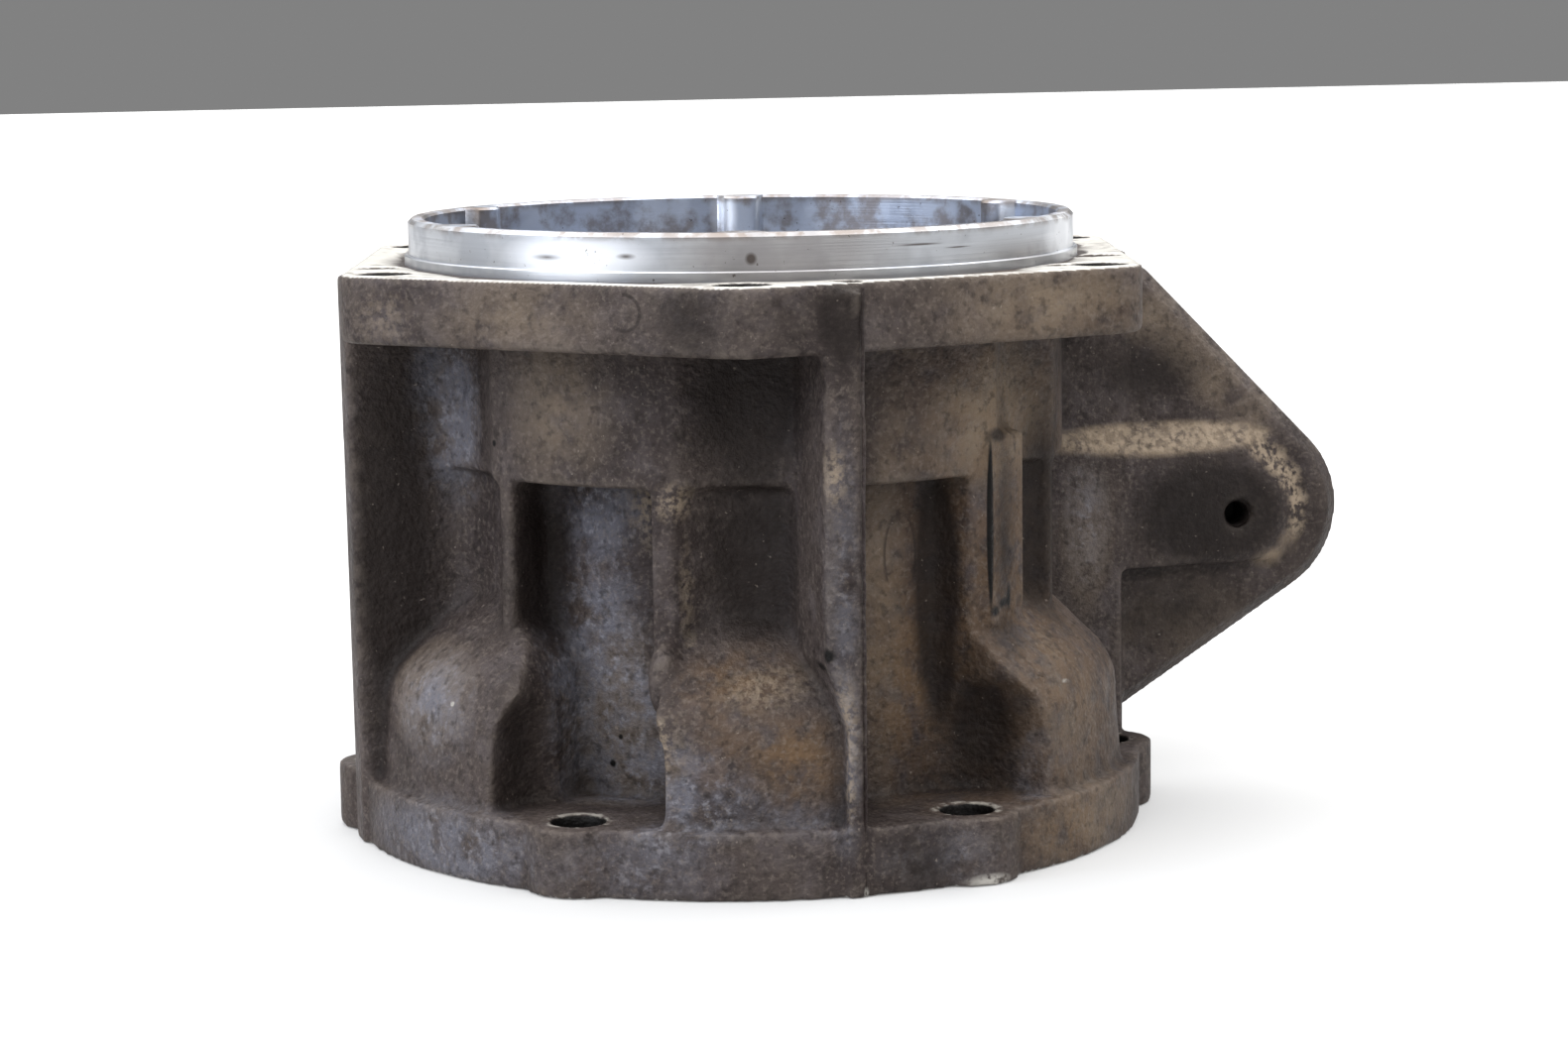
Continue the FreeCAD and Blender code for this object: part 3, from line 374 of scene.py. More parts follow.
@dataclass(frozen=True)
class CastAluminium:
    """Sand-blasted die-cast aluminium under years of dust and oil haze.

    The skin is matt and brown where dust has settled, blue-grey where the bare alloy shows, and its
    crests are rubbed pale and carry painted highlights. Painted shade darkens its hollows, recesses,
    bolt holes and the bracket's faces turned from the light, and painted highlights lie on the bracket's
    lit bevels. The finest grain is drawn a little over a millimetre wide, so that it shows.
    A bump is a grain, a strength and a height in metres.
    """

    name: str = "cast_aluminium"
    base: str = "#403835"
    # Painted shade down the bolt holes, and rubbed seat rings round the lower ones.
    bore_rows: tuple[tuple[float, float, float], ...] = ((88.4, -71.5, 7.0), (95.0, -105.6, 130.0))
    bore_reach: tuple[float, float, float] = (6.7, 6.7, 60.0)
    bore_strength: float = 8.0
    seat_height: float = 15.5
    seat_reach: tuple[float, float, float] = (8.6, 8.6, 3.0)
    seat_strength: float = 4.0
    haze: Grain = Grain(0.004, 0.25, 0.75)
    smooth_rough: float = 0.48
    dusty_rough: float = 0.70
    metal_rough: float = 0.36
    skin_metallic: float = 0.12
    metal_metallic: float = 0.95
    specular: float = 0.16
    skin_bump: tuple[Grain, float, float] = (Grain(0.0013, 0.2, 0.8, 3.0), 0.6, 0.0004)
    lump_bump: tuple[Grain, float, float] = (Grain(0.006, 0.2, 0.8, 2.0), 0.35, 0.0009)
    layers: tuple[Layer, ...] = (
        Layer("#2b2424", 0.75, Grain(0.030, 0.40, 0.64, 2.0)),
        Layer("#4e4747", 0.60, Grain(0.011, 0.46, 0.70)),
        Layer("#2d2624", 0.50, Grain(0.0050, 0.48, 0.68)),
        # Dust, and painted highlights on the bracket's lit bevels and edges.
        Layer("#786a5a", 0.85, Grain(0.008, 0.20, 0.60), Paint.DUST_AND_HIGHLIGHT),
        # Clean blue-grey alloy; the same paint carries painted highlights on the ring.
        Layer("#5a5a62", 0.90, Grain(0.008, 0.30, 0.60, 5.0), Paint.CLEAN_AND_HIGHLIGHT),
        Layer("#77757a", 0.60, Grain(0.0020, 0.52, 0.66, 4.0), Paint.CLEAN_AND_HIGHLIGHT),
        Layer("#614c36", 0.8, Grain(0.006, 0.30, 0.60), Paint.OCHRE),
        Layer("#746a62", 0.30, Grain(0.0012, 0.48, 0.72, 2.0)),
        Layer("#16110f", 0.50, Grain(0.0022, 0.50, 0.72, 2.0)),
        # Soot, and painted shade in recesses, under the upper flange and on faces turned from the light.
        Layer("#1a1412", 0.85, Grain(0.012, 0.0, 0.40), Paint.SOOT_AND_SHADE),
        # Crust, and painted highlights on the bracket's lit top bevel and nose.
        Layer("#918270", 0.80, Grain(0.0018, 0.40, 0.60, 4.0), Paint.CRUST_AND_HIGHLIGHT),
        # Painted shade in roots and valleys.
        Layer("#15110f", 0.74, None, Paint.HOLLOW_SHADE),
        # Crests rubbed pale, and painted highlights on crests and the bracket's upward ledges.
        Layer("#6d645c", 0.50, Grain(0.004, 0.35, 0.65), Paint.CREST_AND_HIGHLIGHT),
        Layer("#a3abbb", 0.85, Grain(0.030, 0.10, 0.50), Paint.INSIDE),
        Layer("#988d83", 0.30, Grain(0.0014, 0.70, 0.76, 2.0)),
        # Rubbed seats round the bolt holes; the same paint carries a painted highlight on the ring.
        Layer("#98938b", 0.75, Grain(0.0035, 0.48, 0.62), Paint.SEAT_AND_HIGHLIGHT),
        Layer("#d2cfc8", 1.0, Grain(0.004, 0.05, 0.25), Paint.MILLED),
        Layer("#6d655f", 0.6, Grain(0.008, 0.52, 0.66), Paint.MILLED),
        Layer("#bdb9b2", 1.0, Grain(0.0022, 0.36, 0.56), Paint.BARE),
        Layer("#1c1715", 0.6, Grain(0.003, 0.20, 0.50), Paint.ARC),
        # Pits, and painted shade in the bolt holes, the threaded hole and over the bracket's pad.
        Layer("#0b0908", 1.0, None, Paint.PIT_AND_SHADE),
    )

    def bores(self) -> tuple[Patch, ...]:
        """Painted shade down both rows of bolt holes, and the rubbed rings round the lower ones."""
        marks = []
        for circle, first, height in self.bore_rows:
            for turn in np.radians(first + 360.0 / BOLTS * np.arange(BOLTS)):
                across, along = circle * math.cos(turn), circle * math.sin(turn)
                # Painted shade down the bolt hole.
                marks.append(Patch(Paint.PIT_AND_SHADE, (across, along, height), self.bore_reach, self.bore_strength))
                if height < self.seat_height:
                    marks.append(Patch(Paint.SEAT_AND_HIGHLIGHT, (across, along, self.seat_height), self.seat_reach,
                                       self.seat_strength))
        return tuple(marks)

    def build(self) -> bpy.types.Material:
        """Makes the material.

        Returns:
            The material, whose masks are patches and the skin's painted attributes.
        """
        material, tree, place = new_material(self.name)
        paints = patch_masks(tree, place, PATCHES + self.bores())
        for paint in POINT_PAINTS:
            attribute = add_node(tree, "ShaderNodeAttribute", {"attribute_name": paint.value})
            paints[paint] = attribute.outputs["Fac"]
        colour = linear(self.base)
        for layer in self.layers:
            mask = layer.strength
            for source in (layer.grain.mask(tree, place) if layer.grain else None,
                           paints[layer.paint] if layer.paint else None):
                if source is not None:
                    mask = add_node(tree, "ShaderNodeMath", {"operation": "MULTIPLY"},
                                    {0: mask, 1: source}).outputs[0]
            colour = add_node(tree, "ShaderNodeMix", {"data_type": "RGBA"},
                              {0: mask, 6: colour, 7: linear(layer.colour)}).outputs[2]
        metal = add_node(tree, "ShaderNodeMath", {"operation": "MAXIMUM"},
                         {0: paints[Paint.MILLED], 1: paints[Paint.BARE]}).outputs[0]
        skin_rough = add_node(tree, "ShaderNodeMapRange", {},
                              {0: self.haze.mask(tree, place), 3: self.smooth_rough, 4: self.dusty_rough})
        rough = add_node(tree, "ShaderNodeMix", {}, {0: metal, 2: skin_rough.outputs[0], 3: self.metal_rough})
        metallic = add_node(tree, "ShaderNodeMapRange", {},
                            {0: metal, 3: self.skin_metallic, 4: self.metal_metallic})
        bump = None
        for grain, strength, height in (self.skin_bump, self.lump_bump):
            below = {"Normal": bump.outputs[0]} if bump else {}
            bump = add_node(tree, "ShaderNodeBump", {},
                            {"Height": grain.mask(tree, place), "Strength": strength,
                             "Distance": height, **below})
        add_surface(tree, {"Base Color": colour, "Roughness": rough.outputs[0],
                           "Metallic": metallic.outputs[0], "Specular IOR Level": self.specular,
                           "Normal": bump.outputs[0]})
        return material


@dataclass(frozen=True)
class TurnedAluminium:
    """Bright aluminium turned on a lathe: fine lines round the bore, a stained lip, small pits and painted
    highlights.
    """

    name: str = "turned_aluminium"
    bright: str = "#bcbfc4"
    groove: str = "#8f9299"
    # Colour of the painted highlights.
    painted_highlight: str = "#eef0f4"
    stain: str = "#776a60"
    pit: str = "#4a403a"
    inner: str = "#b4bccb"
    lines: Grain = Grain(0.0006, 0.30, 0.70, 2.0)
    line_change: float = 0.0008
    cloud: Grain = Grain(0.014, 0.42, 0.62)
    specks: Grain = Grain(0.0014, 0.68, 0.74, 3.0)
    blotch: Grain = Grain(0.005, 0.40, 0.60)
    spill: Grain = Grain(0.011, 0.46, 0.62, 5.0)
    metallic: float = 0.9
    clear_rough: float = 0.30
    cloudy_rough: float = 0.45
    line_bump: float = 0.12
    line_height: float = 0.0001
    marks: tuple[Patch, ...] = (
        Patch(Paint.PIT_AND_SHADE, (-19.5, -77.8, 141.9), (1.5, 2.0, 1.6), 1.0),
        Patch(Paint.PIT_AND_SHADE, (-45.0, -66.0, 142.5), (2.5, 3.0, 0.8), 0.6),
        Patch(Paint.PIT_AND_SHADE, (20.0, -77.7, 143.9), (9.0, 3.0, 0.35), 0.7),
        Patch(Paint.PIT_AND_SHADE, (30.0, -74.3, 142.8), (5.0, 3.0, 0.25), 0.7),
        Patch(Paint.PIT_AND_SHADE, (-60.0, -53.0, 142.0), (5.0, 5.0, 0.9), 0.5),
        Patch(Paint.DUST_AND_HIGHLIGHT, (-14.0, -79.0, 143.0), (34.0, 14.0, 12.0), 1.0),
        Patch(Paint.DUST_AND_HIGHLIGHT, (-64.0, 40.0, 142.0), (36.0, 40.0, 12.0), 2.5),
        Patch(Paint.DUST_AND_HIGHLIGHT, (50.0, -64.0, 140.0), (26.0, 20.0, 5.0), 0.5),
        # Painted highlights on the ring.
        Patch(Paint.CLEAN_AND_HIGHLIGHT, (-56.0, -58.0, 142.0), (24.0, 20.0, 6.0), 0.9),
        Patch(Paint.CLEAN_AND_HIGHLIGHT, (66.0, -46.0, 143.0), (14.0, 14.0, 9.0), 0.8),
        # Painted highlight on an inner rib.
        Patch(Paint.SEAT_AND_HIGHLIGHT, (15.0, 71.0, 143.0), (4.0, 6.0, 9.0), 1.0),
        Patch(Paint.PIT_AND_SHADE, (-57.0, 50.0, 140.0), (5.0, 8.0, 7.0), 0.6),
        Patch(Paint.PIT_AND_SHADE, (70.0, 15.0, 141.0), (5.0, 6.0, 6.0), 0.6),
    )
    lip_low: float = 0.1452
    lip_high: float = 0.1474
    inner_radius: float = 0.0778
    inner_fade: float = 0.001

    def build(self) -> bpy.types.Material:
        """Makes the material.

        Returns:
            The material, whose lines are noise over radius and height that hardly changes round the bore.
        """
        material, tree, place = new_material(self.name)
        across, along, up = add_node(tree, "ShaderNodeSeparateXYZ", {}, {0: place}).outputs
        flat = add_node(tree, "ShaderNodeCombineXYZ", {}, {0: across, 1: along})
        radius = add_node(tree, "ShaderNodeVectorMath", {"operation": "LENGTH"},
                          {0: flat.outputs[0]}).outputs[1]
        turn = add_node(tree, "ShaderNodeMath", {"operation": "ARCTAN2"}, {0: along, 1: across})
        slow = add_node(tree, "ShaderNodeMath", {"operation": "MULTIPLY"},
                        {0: turn.outputs[0], 1: self.line_change})
        around = add_node(tree, "ShaderNodeCombineXYZ", {}, {0: radius, 1: slow.outputs[0], 2: up})
        lines = self.lines.mask(tree, around.outputs[0])
        cloud = self.cloud.mask(tree, place)
        lip = add_node(tree, "ShaderNodeMapRange", {"interpolation_type": "SMOOTHSTEP"},
                       {0: up, 1: self.lip_low, 2: self.lip_high}).outputs[0]
        wall = add_node(tree, "ShaderNodeMapRange", {"interpolation_type": "SMOOTHSTEP"},
                        {0: radius, 1: self.inner_radius + self.inner_fade, 2: self.inner_radius}).outputs[0]
        stained = add_node(tree, "ShaderNodeMath", {"operation": "MULTIPLY"},
                           {0: lip, 1: self.blotch.mask(tree, place)}).outputs[0]
        spilled = add_node(tree, "ShaderNodeMath", {"operation": "MULTIPLY"},
                           {0: wall, 1: self.spill.mask(tree, place)}).outputs[0]
        paints = patch_masks(tree, place, self.marks)
        colour = linear(self.bright)
        for mask, strength, code in ((lines, 0.20, self.groove), (cloud, 0.35, self.groove),
                                     # Painted highlights.
                                     (paints[Paint.CLEAN_AND_HIGHLIGHT], 0.9, self.painted_highlight),
                                     (paints[Paint.DUST_AND_HIGHLIGHT], 0.45, self.stain),
                                     (wall, 0.8, self.inner), (spilled, 0.7, self.stain),
                                     (paints[Paint.SEAT_AND_HIGHLIGHT], 0.9, self.painted_highlight), (stained, 0.7, self.stain),
                                     (self.specks.mask(tree, place), 0.8, self.pit),
                                     (paints[Paint.PIT_AND_SHADE], 0.85, self.pit)):
            amount = add_node(tree, "ShaderNodeMath", {"operation": "MULTIPLY"}, {0: mask, 1: strength})
            colour = add_node(tree, "ShaderNodeMix", {"data_type": "RGBA"},
                              {0: amount.outputs[0], 6: colour, 7: linear(code)}).outputs[2]
        rough = add_node(tree, "ShaderNodeMapRange", {},
                         {0: cloud, 3: self.clear_rough, 4: self.cloudy_rough})
        bump = add_node(tree, "ShaderNodeBump", {},
                        {"Height": lines, "Strength": self.line_bump, "Distance": self.line_height})
        add_surface(tree, {"Base Color": colour, "Roughness": rough.outputs[0], "Metallic": self.metallic,
                           "Normal": bump.outputs[0]})
        return material


@dataclass
class CastSkin:
    """The casting's skin, remeshed from the CAD solid so that its edges and roots are rounded.

    Sizes are in millimetres and follow the CAD part. A fillet joins the foot of the rib left of the
    middle dome to that dome, in front and, turned half a turn, at the rear.
    """

    node: str = "housing"
    voxel: float = 0.95
    triangle_limit: int = 190_000
    merge_distance: float = 0.002
    front_face: float = 137.5
    cast_low: float = 16.3
    cast_high: float = 123.7
    ring_seat: float = 136.7
    ring_radius: float = 81.6
    ring_wall: float = 2.0
    mouth_floor: float = 126.6
    mouth_ease: float = 0.8
    drum_bore_start: float = 94.0
    mouth_radius: float = 78.0
    waist_radius: float = 60.0
    close_steps: int = 10
    wide_steps: int = 60
    blur_steps: int = 4
    fillet_turn: float = math.radians(-119.0)
    fillet_place: tuple[float, float, float] = (75.0, 0.0, 46.5)
    fillet_reach: tuple[float, float, float] = (10.0, 4.6, 10.0)
    cast_steps: int = 14
    edge_steps: int = 3
    bracket_steps: int = 4
    bracket_start: float = 88.0
    bracket_ledge: float = 76.0
    pull_in: float = 0.55
    push_out: float = -0.30
    level_normal: float = 0.9
    level_gap: float = 0.5
    floor_normal: float = 0.2
    floor_gap: float = 4.0
    facing_in: float = -0.3
    inner_limit: float = 82.0
    # Painted shade in roots and valleys, and painted highlight on crests and the bracket's upward ledges.
    root_fade: tuple[float, float] = (0.05, 0.8)
    valley_fade: tuple[float, float] = (0.2, 3.0)
    valley_strength: float = 0.8
    crest_fade: tuple[float, float] = (0.10, 0.8)
    ledge_fade: tuple[float, float] = (0.35, 0.65)

    def merged_copy(self) -> bpy.types.Mesh:
        """Joins the loose CAD triangles into one closed mesh, with its ring pushed down out of sight.

        Returns:
            The closed mesh, in millimetres.
        """
        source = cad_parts[self.node].data
        work = bmesh.new()
        work.from_mesh(source)
        bmesh.ops.scale(work, vec=(1.0 / MM,) * 3, verts=work.verts)
        bmesh.ops.remove_doubles(work, verts=work.verts, dist=self.merge_distance)
        for turn in (0.0, math.pi):
            spin = Matrix.Rotation(self.fillet_turn + turn, 4, "Z")
            fillet = spin @ Matrix.Translation(self.fillet_place) @ Matrix.Diagonal((*self.fillet_reach, 1.0))
            bmesh.ops.create_icosphere(work, subdivisions=3, radius=1.0, matrix=fillet)
        mesh = bpy.data.meshes.new("casting_skin")
        work.to_mesh(mesh)
        work.free()
        points = self.points_of(mesh)
        radius = np.hypot(points[:, 0], points[:, 1])
        mouth = (points[:, 2] > self.mouth_floor) & (radius < self.ring_radius)
        low = mouth & (radius < self.ring_radius - self.ring_wall)
        points[low, :2] *= ((radius[low] + self.mouth_ease) / radius[low])[:, None]
        points[mouth, 2] = np.minimum(points[mouth, 2], self.ring_seat)
        mesh.vertices.foreach_set("co", points.ravel().astype(np.float32))
        mesh.update()
        return mesh

    @staticmethod
    def points_of(mesh: bpy.types.Mesh) -> np.ndarray:
        """The mesh's points as an array of rows."""
        flat = np.empty(len(mesh.vertices) * 3, np.float32)
        mesh.vertices.foreach_get("co", flat)
        return flat.reshape(-1, 3).astype(float)

    def apply_modifiers(self, piece: bpy.types.Object) -> None:
        """Puts the modifiers' result into the piece's own mesh."""
        bpy.context.view_layer.update()
        seen = piece.evaluated_get(bpy.context.evaluated_depsgraph_get())
        mesh = bpy.data.meshes.new_from_object(seen)
        piece.modifiers.clear()
        piece.data = mesh

    def soften(self, mesh: bpy.types.Mesh, steps: np.ndarray) -> None:
        """Rounds edges and roots by moving each point towards the mean of its neighbours.

        Every second step moves back a little less, so that ribs keep their size.

        Args:
            mesh: the mesh to round.
            steps: how many rounds each point takes part in.
        """
        pairs = edge_pairs(mesh)
        points = self.points_of(mesh)
        for step in range(int(steps.max())):
            pull = self.pull_in if step % 2 == 0 else self.push_out
            points += (neighbour_mean(pairs, points) - points) * pull * (steps > step)[:, None]
        mesh.vertices.foreach_set("co", points.ravel().astype(np.float32))
        mesh.update()

    def paint(self, mesh: bpy.types.Mesh) -> None:
        """Paints the masks on the skin's points: machined faces, painted shade in hollows, crests rubbed pale
        with painted highlights, and the inside.
        """
        points = self.points_of(mesh)
        normals = np.empty(len(points) * 3, np.float32)
        mesh.vertex_normals.foreach_get("vector", normals)
        normals = normals.reshape(-1, 3)
        pairs = edge_pairs(mesh)
        mean = points.copy()
        for _ in range(self.close_steps):
            mean = neighbour_mean(pairs, mean)
        bulge = ((points - mean) * normals).sum(axis=1)
        for _ in range(self.wide_steps):
            mean = neighbour_mean(pairs, mean)
        sunk = -((points - mean) * normals).sum(axis=1)
        radius = np.hypot(points[:, 0], points[:, 1])
        high = points[:, 2]
        gap = self.level_gap
        milled = (np.abs(normals[:, 2]) > self.level_normal) & ((high > self.front_face - gap) | (high < gap))
        inner = np.where(high > self.drum_bore_start, self.inner_limit, self.waist_radius)
        inside = ((points[:, :2] * normals[:, :2]).sum(axis=1) < self.facing_in * radius) & (radius < inner)
        inside |= ((normals[:, 2] > self.floor_normal) & (radius < self.mouth_radius)
                   & (high > self.mouth_floor - self.floor_gap))
        # Painted shade: roots and wide valleys are darkened.
        valley = self.valley_strength * smooth_step(sunk, *self.valley_fade)
        ledge = (points[:, 0] > self.bracket_start) & (high > self.bracket_ledge)
        masks = {
            Paint.MILLED: milled.astype(float),
            # Painted shade in roots and valleys.
            Paint.HOLLOW_SHADE: np.maximum(smooth_step(-bulge, *self.root_fade), valley),
            # Crests, and a painted highlight on the bracket's upward-facing ledges.
            Paint.CREST_AND_HIGHLIGHT: np.maximum(smooth_step(bulge, *self.crest_fade),
                                    smooth_step(normals[:, 2], *self.ledge_fade) * ledge),
            Paint.INSIDE: inside.astype(float),
        }
        amounts = np.stack(list(masks.values()), axis=1)
        for _ in range(self.blur_steps):
            amounts[:, 1:3] = neighbour_mean(pairs, amounts[:, 1:3])
        for paint, amount in zip(masks, amounts.T):
            layer = mesh.attributes.new(paint.value, "FLOAT", "POINT")
            layer.data.foreach_set("value", amount.astype(np.float32))

    def build(self, finish: CastAluminium) -> bpy.types.Object:
        """Makes the skin.

        Args:
            finish: the finish of the cast skin.

        Returns:
            The skin's object, in metres.
        """
        mesh = self.merged_copy()
        piece = bpy.data.objects.new("casting_skin", mesh)
        bpy.context.scene.collection.objects.link(piece)
        remesh = piece.modifiers.new("voxels", "REMESH")
        remesh.mode = "VOXEL"
        remesh.voxel_size = self.voxel
        self.apply_modifiers(piece)
        points = self.points_of(piece.data)
        cast = (points[:, 2] > self.cast_low) & (points[:, 2] < self.cast_high)
        steps = np.where(cast, self.cast_steps, self.edge_steps)
        steps[points[:, 0] > self.bracket_start] = self.bracket_steps
        self.soften(piece.data, steps)
        self.paint(piece.data)
        thin = piece.modifiers.new("thin", "DECIMATE")
        faces = 2 * len(piece.data.polygons)
        thin.ratio = min(1.0, self.triangle_limit / faces)
        LOG.info("skin had %d triangles", faces)
        self.apply_modifiers(piece)
        mesh = piece.data
        mesh.transform(Matrix.Scale(MM, 4))
        mesh.shade_smooth()
        mesh.materials.clear()
        mesh.materials.append(finish.build())
        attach(piece, "root")
        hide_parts(self.node)
        LOG.info("%s: %d triangles", piece.name, sum(len(face.vertices) - 2 for face in mesh.polygons))
        return piece


@dataclass
class PilotRing:
    """The machined ring above the upper flange and the mouth inside it, with its six round ribs.

    Its section is carried round the bore; only the inner wall's radius changes on the way. Sizes in
    millimetres.
    """

    outer: float = 80.2
    step_radius: float = 81.2
    step_top: float = 139.2
    face: float = 137.5
    top: float = 147.66
    chamfer: float = 0.9
    inner_chamfer: float = 0.6
    mouth: float = 76.3
    mouth_low: float = 126.0
    rib_radius: float = 5.5
    rib_turn: float = -105.6
    rib_blend: float = 2.2
    step_chamfer: float = 0.3
    sharp: float = 30.0
    turns: int = 720

    def mouth_radius(self, angle: np.ndarray) -> np.ndarray:
        """Radius of the mouth's wall: a circle, less six round ribs with soft roots.

        Args:
            angle: angles round the bore.

        Returns:
            The radius at each angle.
        """
        step = 2.0 * math.pi / BOLTS
        off = (angle - math.radians(self.rib_turn) + step / 2) % step - step / 2
        side = self.mouth * np.sin(off)
        rib = self.mouth * np.cos(off) - np.sqrt(np.maximum(self.rib_radius ** 2 - side ** 2, 0.0))
        rib = np.where(np.abs(side) < self.rib_radius, rib, self.mouth + 2.0 * self.rib_blend)
        mix = np.clip(0.5 + 0.5 * (self.mouth - rib) / self.rib_blend, 0.0, 1.0)
        return self.mouth + (rib - self.mouth) * mix - self.rib_blend * mix * (1.0 - mix)

    def build(self, finish: TurnedAluminium) -> bpy.types.Object:
        """Makes the ring.

        Args:
            finish: the turned finish.

        Returns:
            The ring's object, in metres.
        """
        angle = np.linspace(0.0, 2.0 * math.pi, self.turns, endpoint=False)
        wall = self.mouth_radius(angle)
        section = [
            (self.step_radius, self.mouth_low), (self.step_radius, self.step_top - self.step_chamfer),
            (self.step_radius - self.step_chamfer, self.step_top), (self.outer, self.step_top),
            (self.outer, self.top - self.chamfer), (self.outer - self.chamfer, self.top),
            (None, self.top), (0.0, self.top - self.inner_chamfer), (0.0, self.mouth_low),
        ]
        rows = []
        for radius, height in section:
            if radius is None:
                reach = wall + self.inner_chamfer
            else:
                reach = np.full(self.turns, radius) if radius else wall
            rows.append(np.stack([reach * np.cos(angle), reach * np.sin(angle),
                                  np.full(self.turns, height)], axis=1))
        count = len(section)
        row, column = np.meshgrid(np.arange(count), np.arange(self.turns), indexing="ij")
        ahead = (column + 1) % self.turns
        above = (row + 1) % count
        faces = np.stack([row * self.turns + column, row * self.turns + ahead,
                          above * self.turns + ahead, above * self.turns + column], axis=-1).reshape(-1, 4)
        piece = add_piece("pilot_ring", np.concatenate(rows), faces.tolist(), finish.build())
        piece.data.shade_smooth()
        piece.data.set_sharp_from_angle(angle=math.radians(self.sharp))
        return piece


@dataclass
class PartingFlash:
    """The thin ragged ridge that the mould's parting line leaves down the front. Sizes in millimetres."""

    foot_reach: float = 96.4
    top_reach: float = 98.3
    height: float = 136.3
    width: float = 0.8
    proud: float = 0.5
    sunk: float = 0.4
    wander: float = 0.25
    blur: int = 9
    notch: tuple[float, float, float, float] = (0.75, 0.9, 0.15, 1.3)
    rows: int = 260
    seed: int = 7

    def build(self, material: bpy.types.Material) -> bpy.types.Object:
        """Makes the ridge: a triangle carried up the rib, whose crest wanders a little.

        Args:
            material: the cast skin's material.

        Returns:
            The ridge's object, in metres.
        """
        draw = np.random.default_rng(self.seed)
        rise = np.linspace(self.sunk, self.height, self.rows)
        noise = draw.normal(0.0, 1.0, self.rows + self.blur - 1)
        rough = np.convolve(noise, np.ones(self.blur) / self.blur, "valid")
        reach = self.foot_reach + (self.top_reach - self.foot_reach) * rise / self.height
        mean, change, low, high = self.notch
        crest = reach + self.proud * np.clip(mean + change * rough, low, high)
        sway = self.wander * rough
        left, right = (np.stack([sway + side * self.width / 2, -(reach - self.sunk), rise], axis=1)
                       for side in (-1, 1))
        tip = np.stack([sway, -crest, rise], axis=1)
        points = np.stack([left, tip, right], axis=1).reshape(-1, 3)
        row = np.arange(self.rows - 1)[:, None]
        side = np.arange(3)[None]
        here, ahead = row * 3 + side, row * 3 + (side + 1) % 3
        quads = np.stack([here, ahead, ahead + 3, here + 3], axis=-1).reshape(-1, 4)
        last = 3 * self.rows
        ends = [[2, 1, 0], [last - 3, last - 2, last - 1]]
        return add_piece("parting_flash", points, quads.tolist() + ends, material)


@dataclass
class ThreadedEye:
    """Thread turns in the bracket's hole, with a disc at the back; painted shade darkens them."""

    centre: tuple[float, float] = (126.9, 68.4)
    minor: float = 3.1
    major: float = 3.7
    pitch: float = 1.25
    face: float = 7.2
    back: float = -3.0
    turns: int = 96
    steps: int = 6

    def build(self, material: bpy.types.Material) -> bpy.types.Object:
        """Makes the liner: a ring section carried down a helix, with a disc of grime behind it.

        Args:
            material: the cast skin's material.

        Returns:
            The liner's object, in metres.
        """
        depth = np.linspace(self.face, self.back, int((self.face - self.back) / self.pitch * self.steps))
        angle = np.linspace(0.0, 2.0 * math.pi, self.turns, endpoint=False)
        along, around = np.meshgrid(depth, angle, indexing="ij")
        phase = along / self.pitch * 2.0 * math.pi + around
        radius = self.minor + (self.major - self.minor) * (0.5 + 0.5 * np.cos(phase))
        across, up = self.centre
        points = np.stack([across + radius * np.cos(around), -along, up + radius * np.sin(around)], axis=-1)
        points = np.concatenate([points.reshape(-1, 3), [[across, -self.back, up]]])
        row, column = np.meshgrid(np.arange(len(depth) - 1), np.arange(self.turns), indexing="ij")
        ahead = (column + 1) % self.turns
        quads = np.stack([row * self.turns + column, (row + 1) * self.turns + column,
                          (row + 1) * self.turns + ahead, row * self.turns + ahead], axis=-1).reshape(-1, 4)
        last = (len(depth) - 1) * self.turns + np.arange(self.turns)
        disc = np.stack([last, np.full(self.turns, len(points) - 1), np.roll(last, -1)], axis=-1)
        piece = add_piece("threaded_eye", points, quads.tolist() + disc.tolist(), material)
        piece.data.shade_smooth()
        return piece


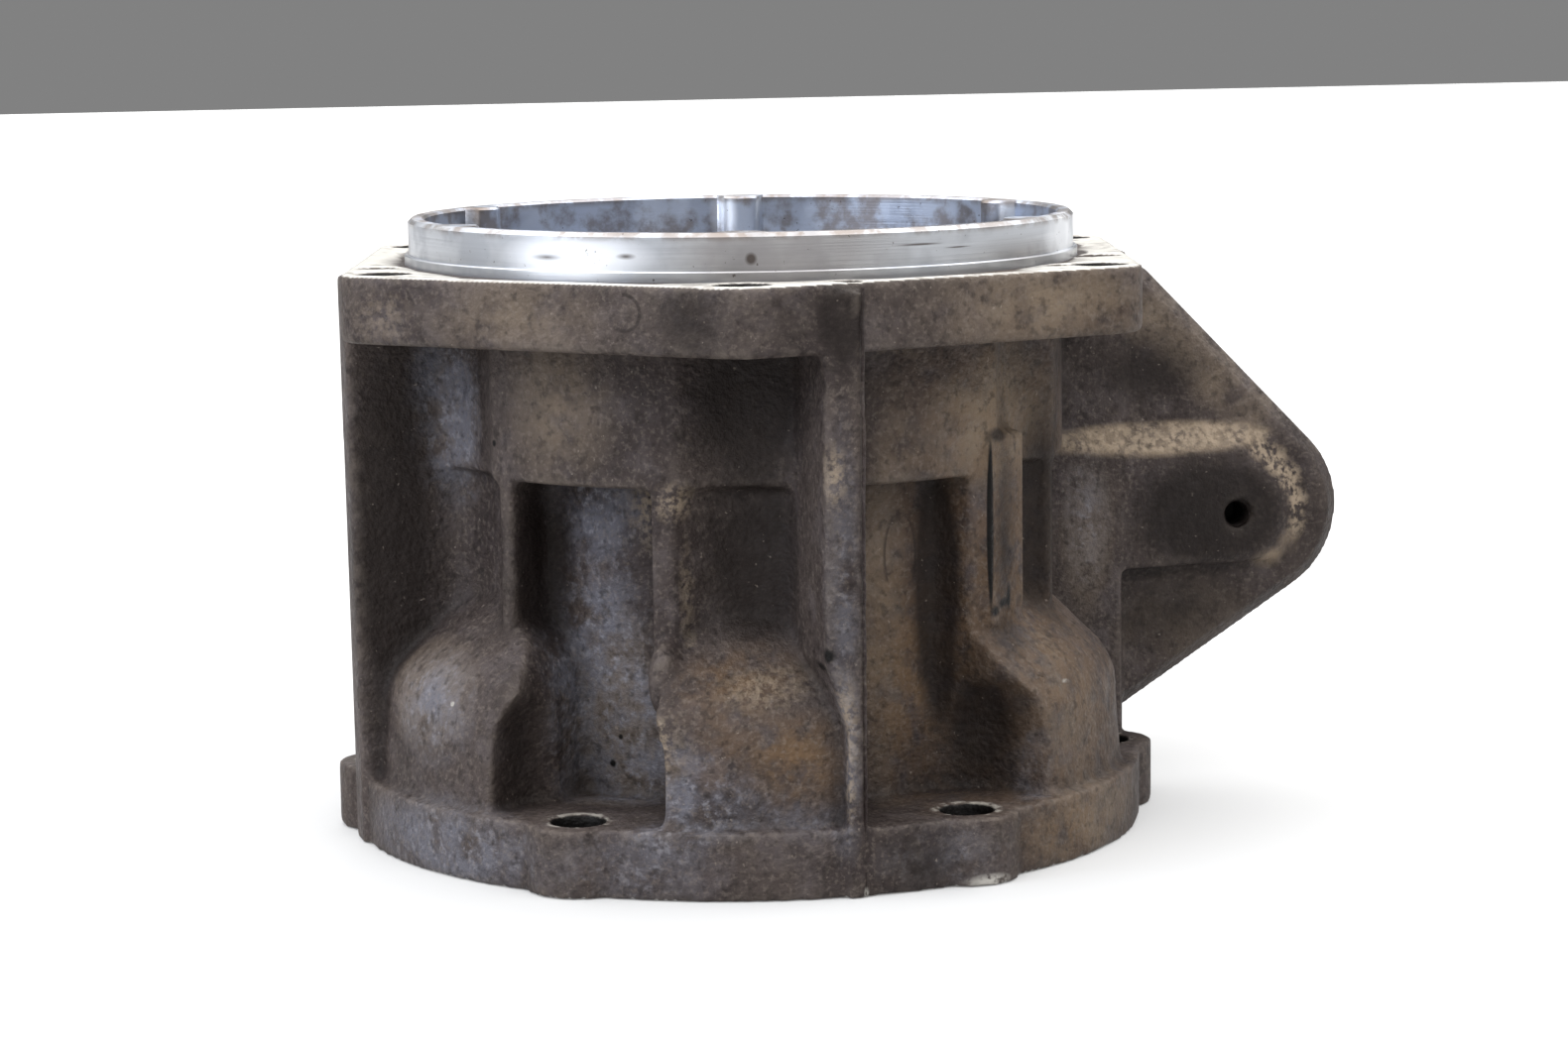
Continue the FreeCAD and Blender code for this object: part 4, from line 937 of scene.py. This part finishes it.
@dataclass
class Studio:
    """Pale floor, soft light from above and the left, and the camera of the photograph."""

    floor_size: float = 12.0
    floor_drop: float = 0.0002
    floor_colour: str = "#b0b0b0"
    floor_rough: float = 0.9
    floor_glow: float = 0.12
    box_place: tuple[float, float, float] = (-1.3, -0.3, 0.6)
    box_aim: tuple[float, float, float] = (0.0, 0.0, 0.08)
    box_side: float = 0.6
    box_watts: float = 8.0
    box_tint: tuple[float, float, float] = (0.78, 0.86, 1.0)
    sky_top: float = 3.4
    sky_side: float = 0.22
    sky_low: float = 0.25
    sky_high: float = 0.70
    camera_place: tuple[float, float, float] = (0.0, -0.9181, 0.20066)
    turn: float = -15.6
    pitch: float = -8.0
    yaw: float = 0.594
    roll: float = -0.744
    lens: float = 86.97
    sensor: float = 36.0
    far: float = 30.0

    def floor(self) -> None:
        """Lays a pale floor under the part."""
        half = self.floor_size / 2
        mesh = bpy.data.meshes.new("floor")
        corners = [(-half, -half, 0), (half, -half, 0), (half, half, 0), (-half, half, 0)]
        mesh.from_pydata(corners, [], [(0, 1, 2, 3)])
        material = bpy.data.materials.new("pale_floor")
        material.use_nodes = True
        shader = material.node_tree.nodes["Principled BSDF"]
        shader.inputs["Base Color"].default_value = linear(self.floor_colour)
        shader.inputs["Roughness"].default_value = self.floor_rough
        shader.inputs["Emission Color"].default_value = (1, 1, 1, 1)
        shader.inputs["Emission Strength"].default_value = self.floor_glow
        mesh.materials.append(material)
        piece = bpy.data.objects.new("floor", mesh)
        bpy.context.scene.collection.objects.link(piece)
        piece.location.z = -self.floor_drop

    def light(self) -> None:
        """Hangs the soft square light at the left."""
        data = bpy.data.lights.new("left_box", "AREA")
        data.size = self.box_side
        data.energy = self.box_watts
        data.color = self.box_tint
        lamp = bpy.data.objects.new("left_box", data)
        lamp.location = self.box_place
        way = Vector(self.box_aim) - Vector(self.box_place)
        lamp.rotation_euler = way.to_track_quat("-Z", "Y").to_euler()
        bpy.context.scene.collection.objects.link(lamp)

    def camera(self) -> None:
        """Stands the camera where it was fitted to the photograph's ellipses."""
        data = bpy.data.cameras.new("photo_camera")
        data.lens = self.lens
        data.sensor_width = self.sensor
        data.clip_end = self.far
        eye = bpy.data.objects.new("photo_camera", data)
        bpy.context.scene.collection.objects.link(eye)
        spin = Matrix.Rotation(math.radians(self.turn), 4, "Z")
        look = (Matrix.Rotation(math.radians(-self.yaw), 4, "Z")
                @ Matrix.Rotation(math.radians(90.0 + self.pitch), 4, "X")
                @ Matrix.Rotation(math.radians(self.roll), 4, "Z"))
        eye.matrix_world = spin @ Matrix.Translation(self.camera_place) @ look
        bpy.context.scene.camera = eye

    def build(self) -> None:
        """Sets the stage."""
        scene = bpy.context.scene
        scene.view_settings.view_transform = "Standard"
        world = bpy.data.worlds.new("sky")
        world.use_nodes = True
        tree = world.node_tree
        ground = tree.nodes["Background"]
        ground.inputs[0].default_value = (1, 1, 1, 1)
        way = add_node(tree, "ShaderNodeTexCoord").outputs["Generated"]
        rise = add_node(tree, "ShaderNodeSeparateXYZ", {}, {0: way}).outputs[2]
        glow = add_node(tree, "ShaderNodeMapRange", {"interpolation_type": "SMOOTHSTEP"},
                        {0: rise, 1: self.sky_low, 2: self.sky_high, 3: self.sky_side, 4: self.sky_top})
        tree.links.new(glow.outputs[0], ground.inputs[1])
        scene.world = world
        self.floor()
        self.light()
        self.camera()


def main() -> None:
    """Builds the part and its stage."""
    logging.basicConfig(level=logging.INFO)
    skin = CastSkin().build(CastAluminium())
    cast = skin.data.materials[0]
    PartingFlash().build(cast)
    ThreadedEye().build(cast)
    PilotRing().build(TurnedAluminium())
    Studio().build()


if __name__ == "__main__":
    main()
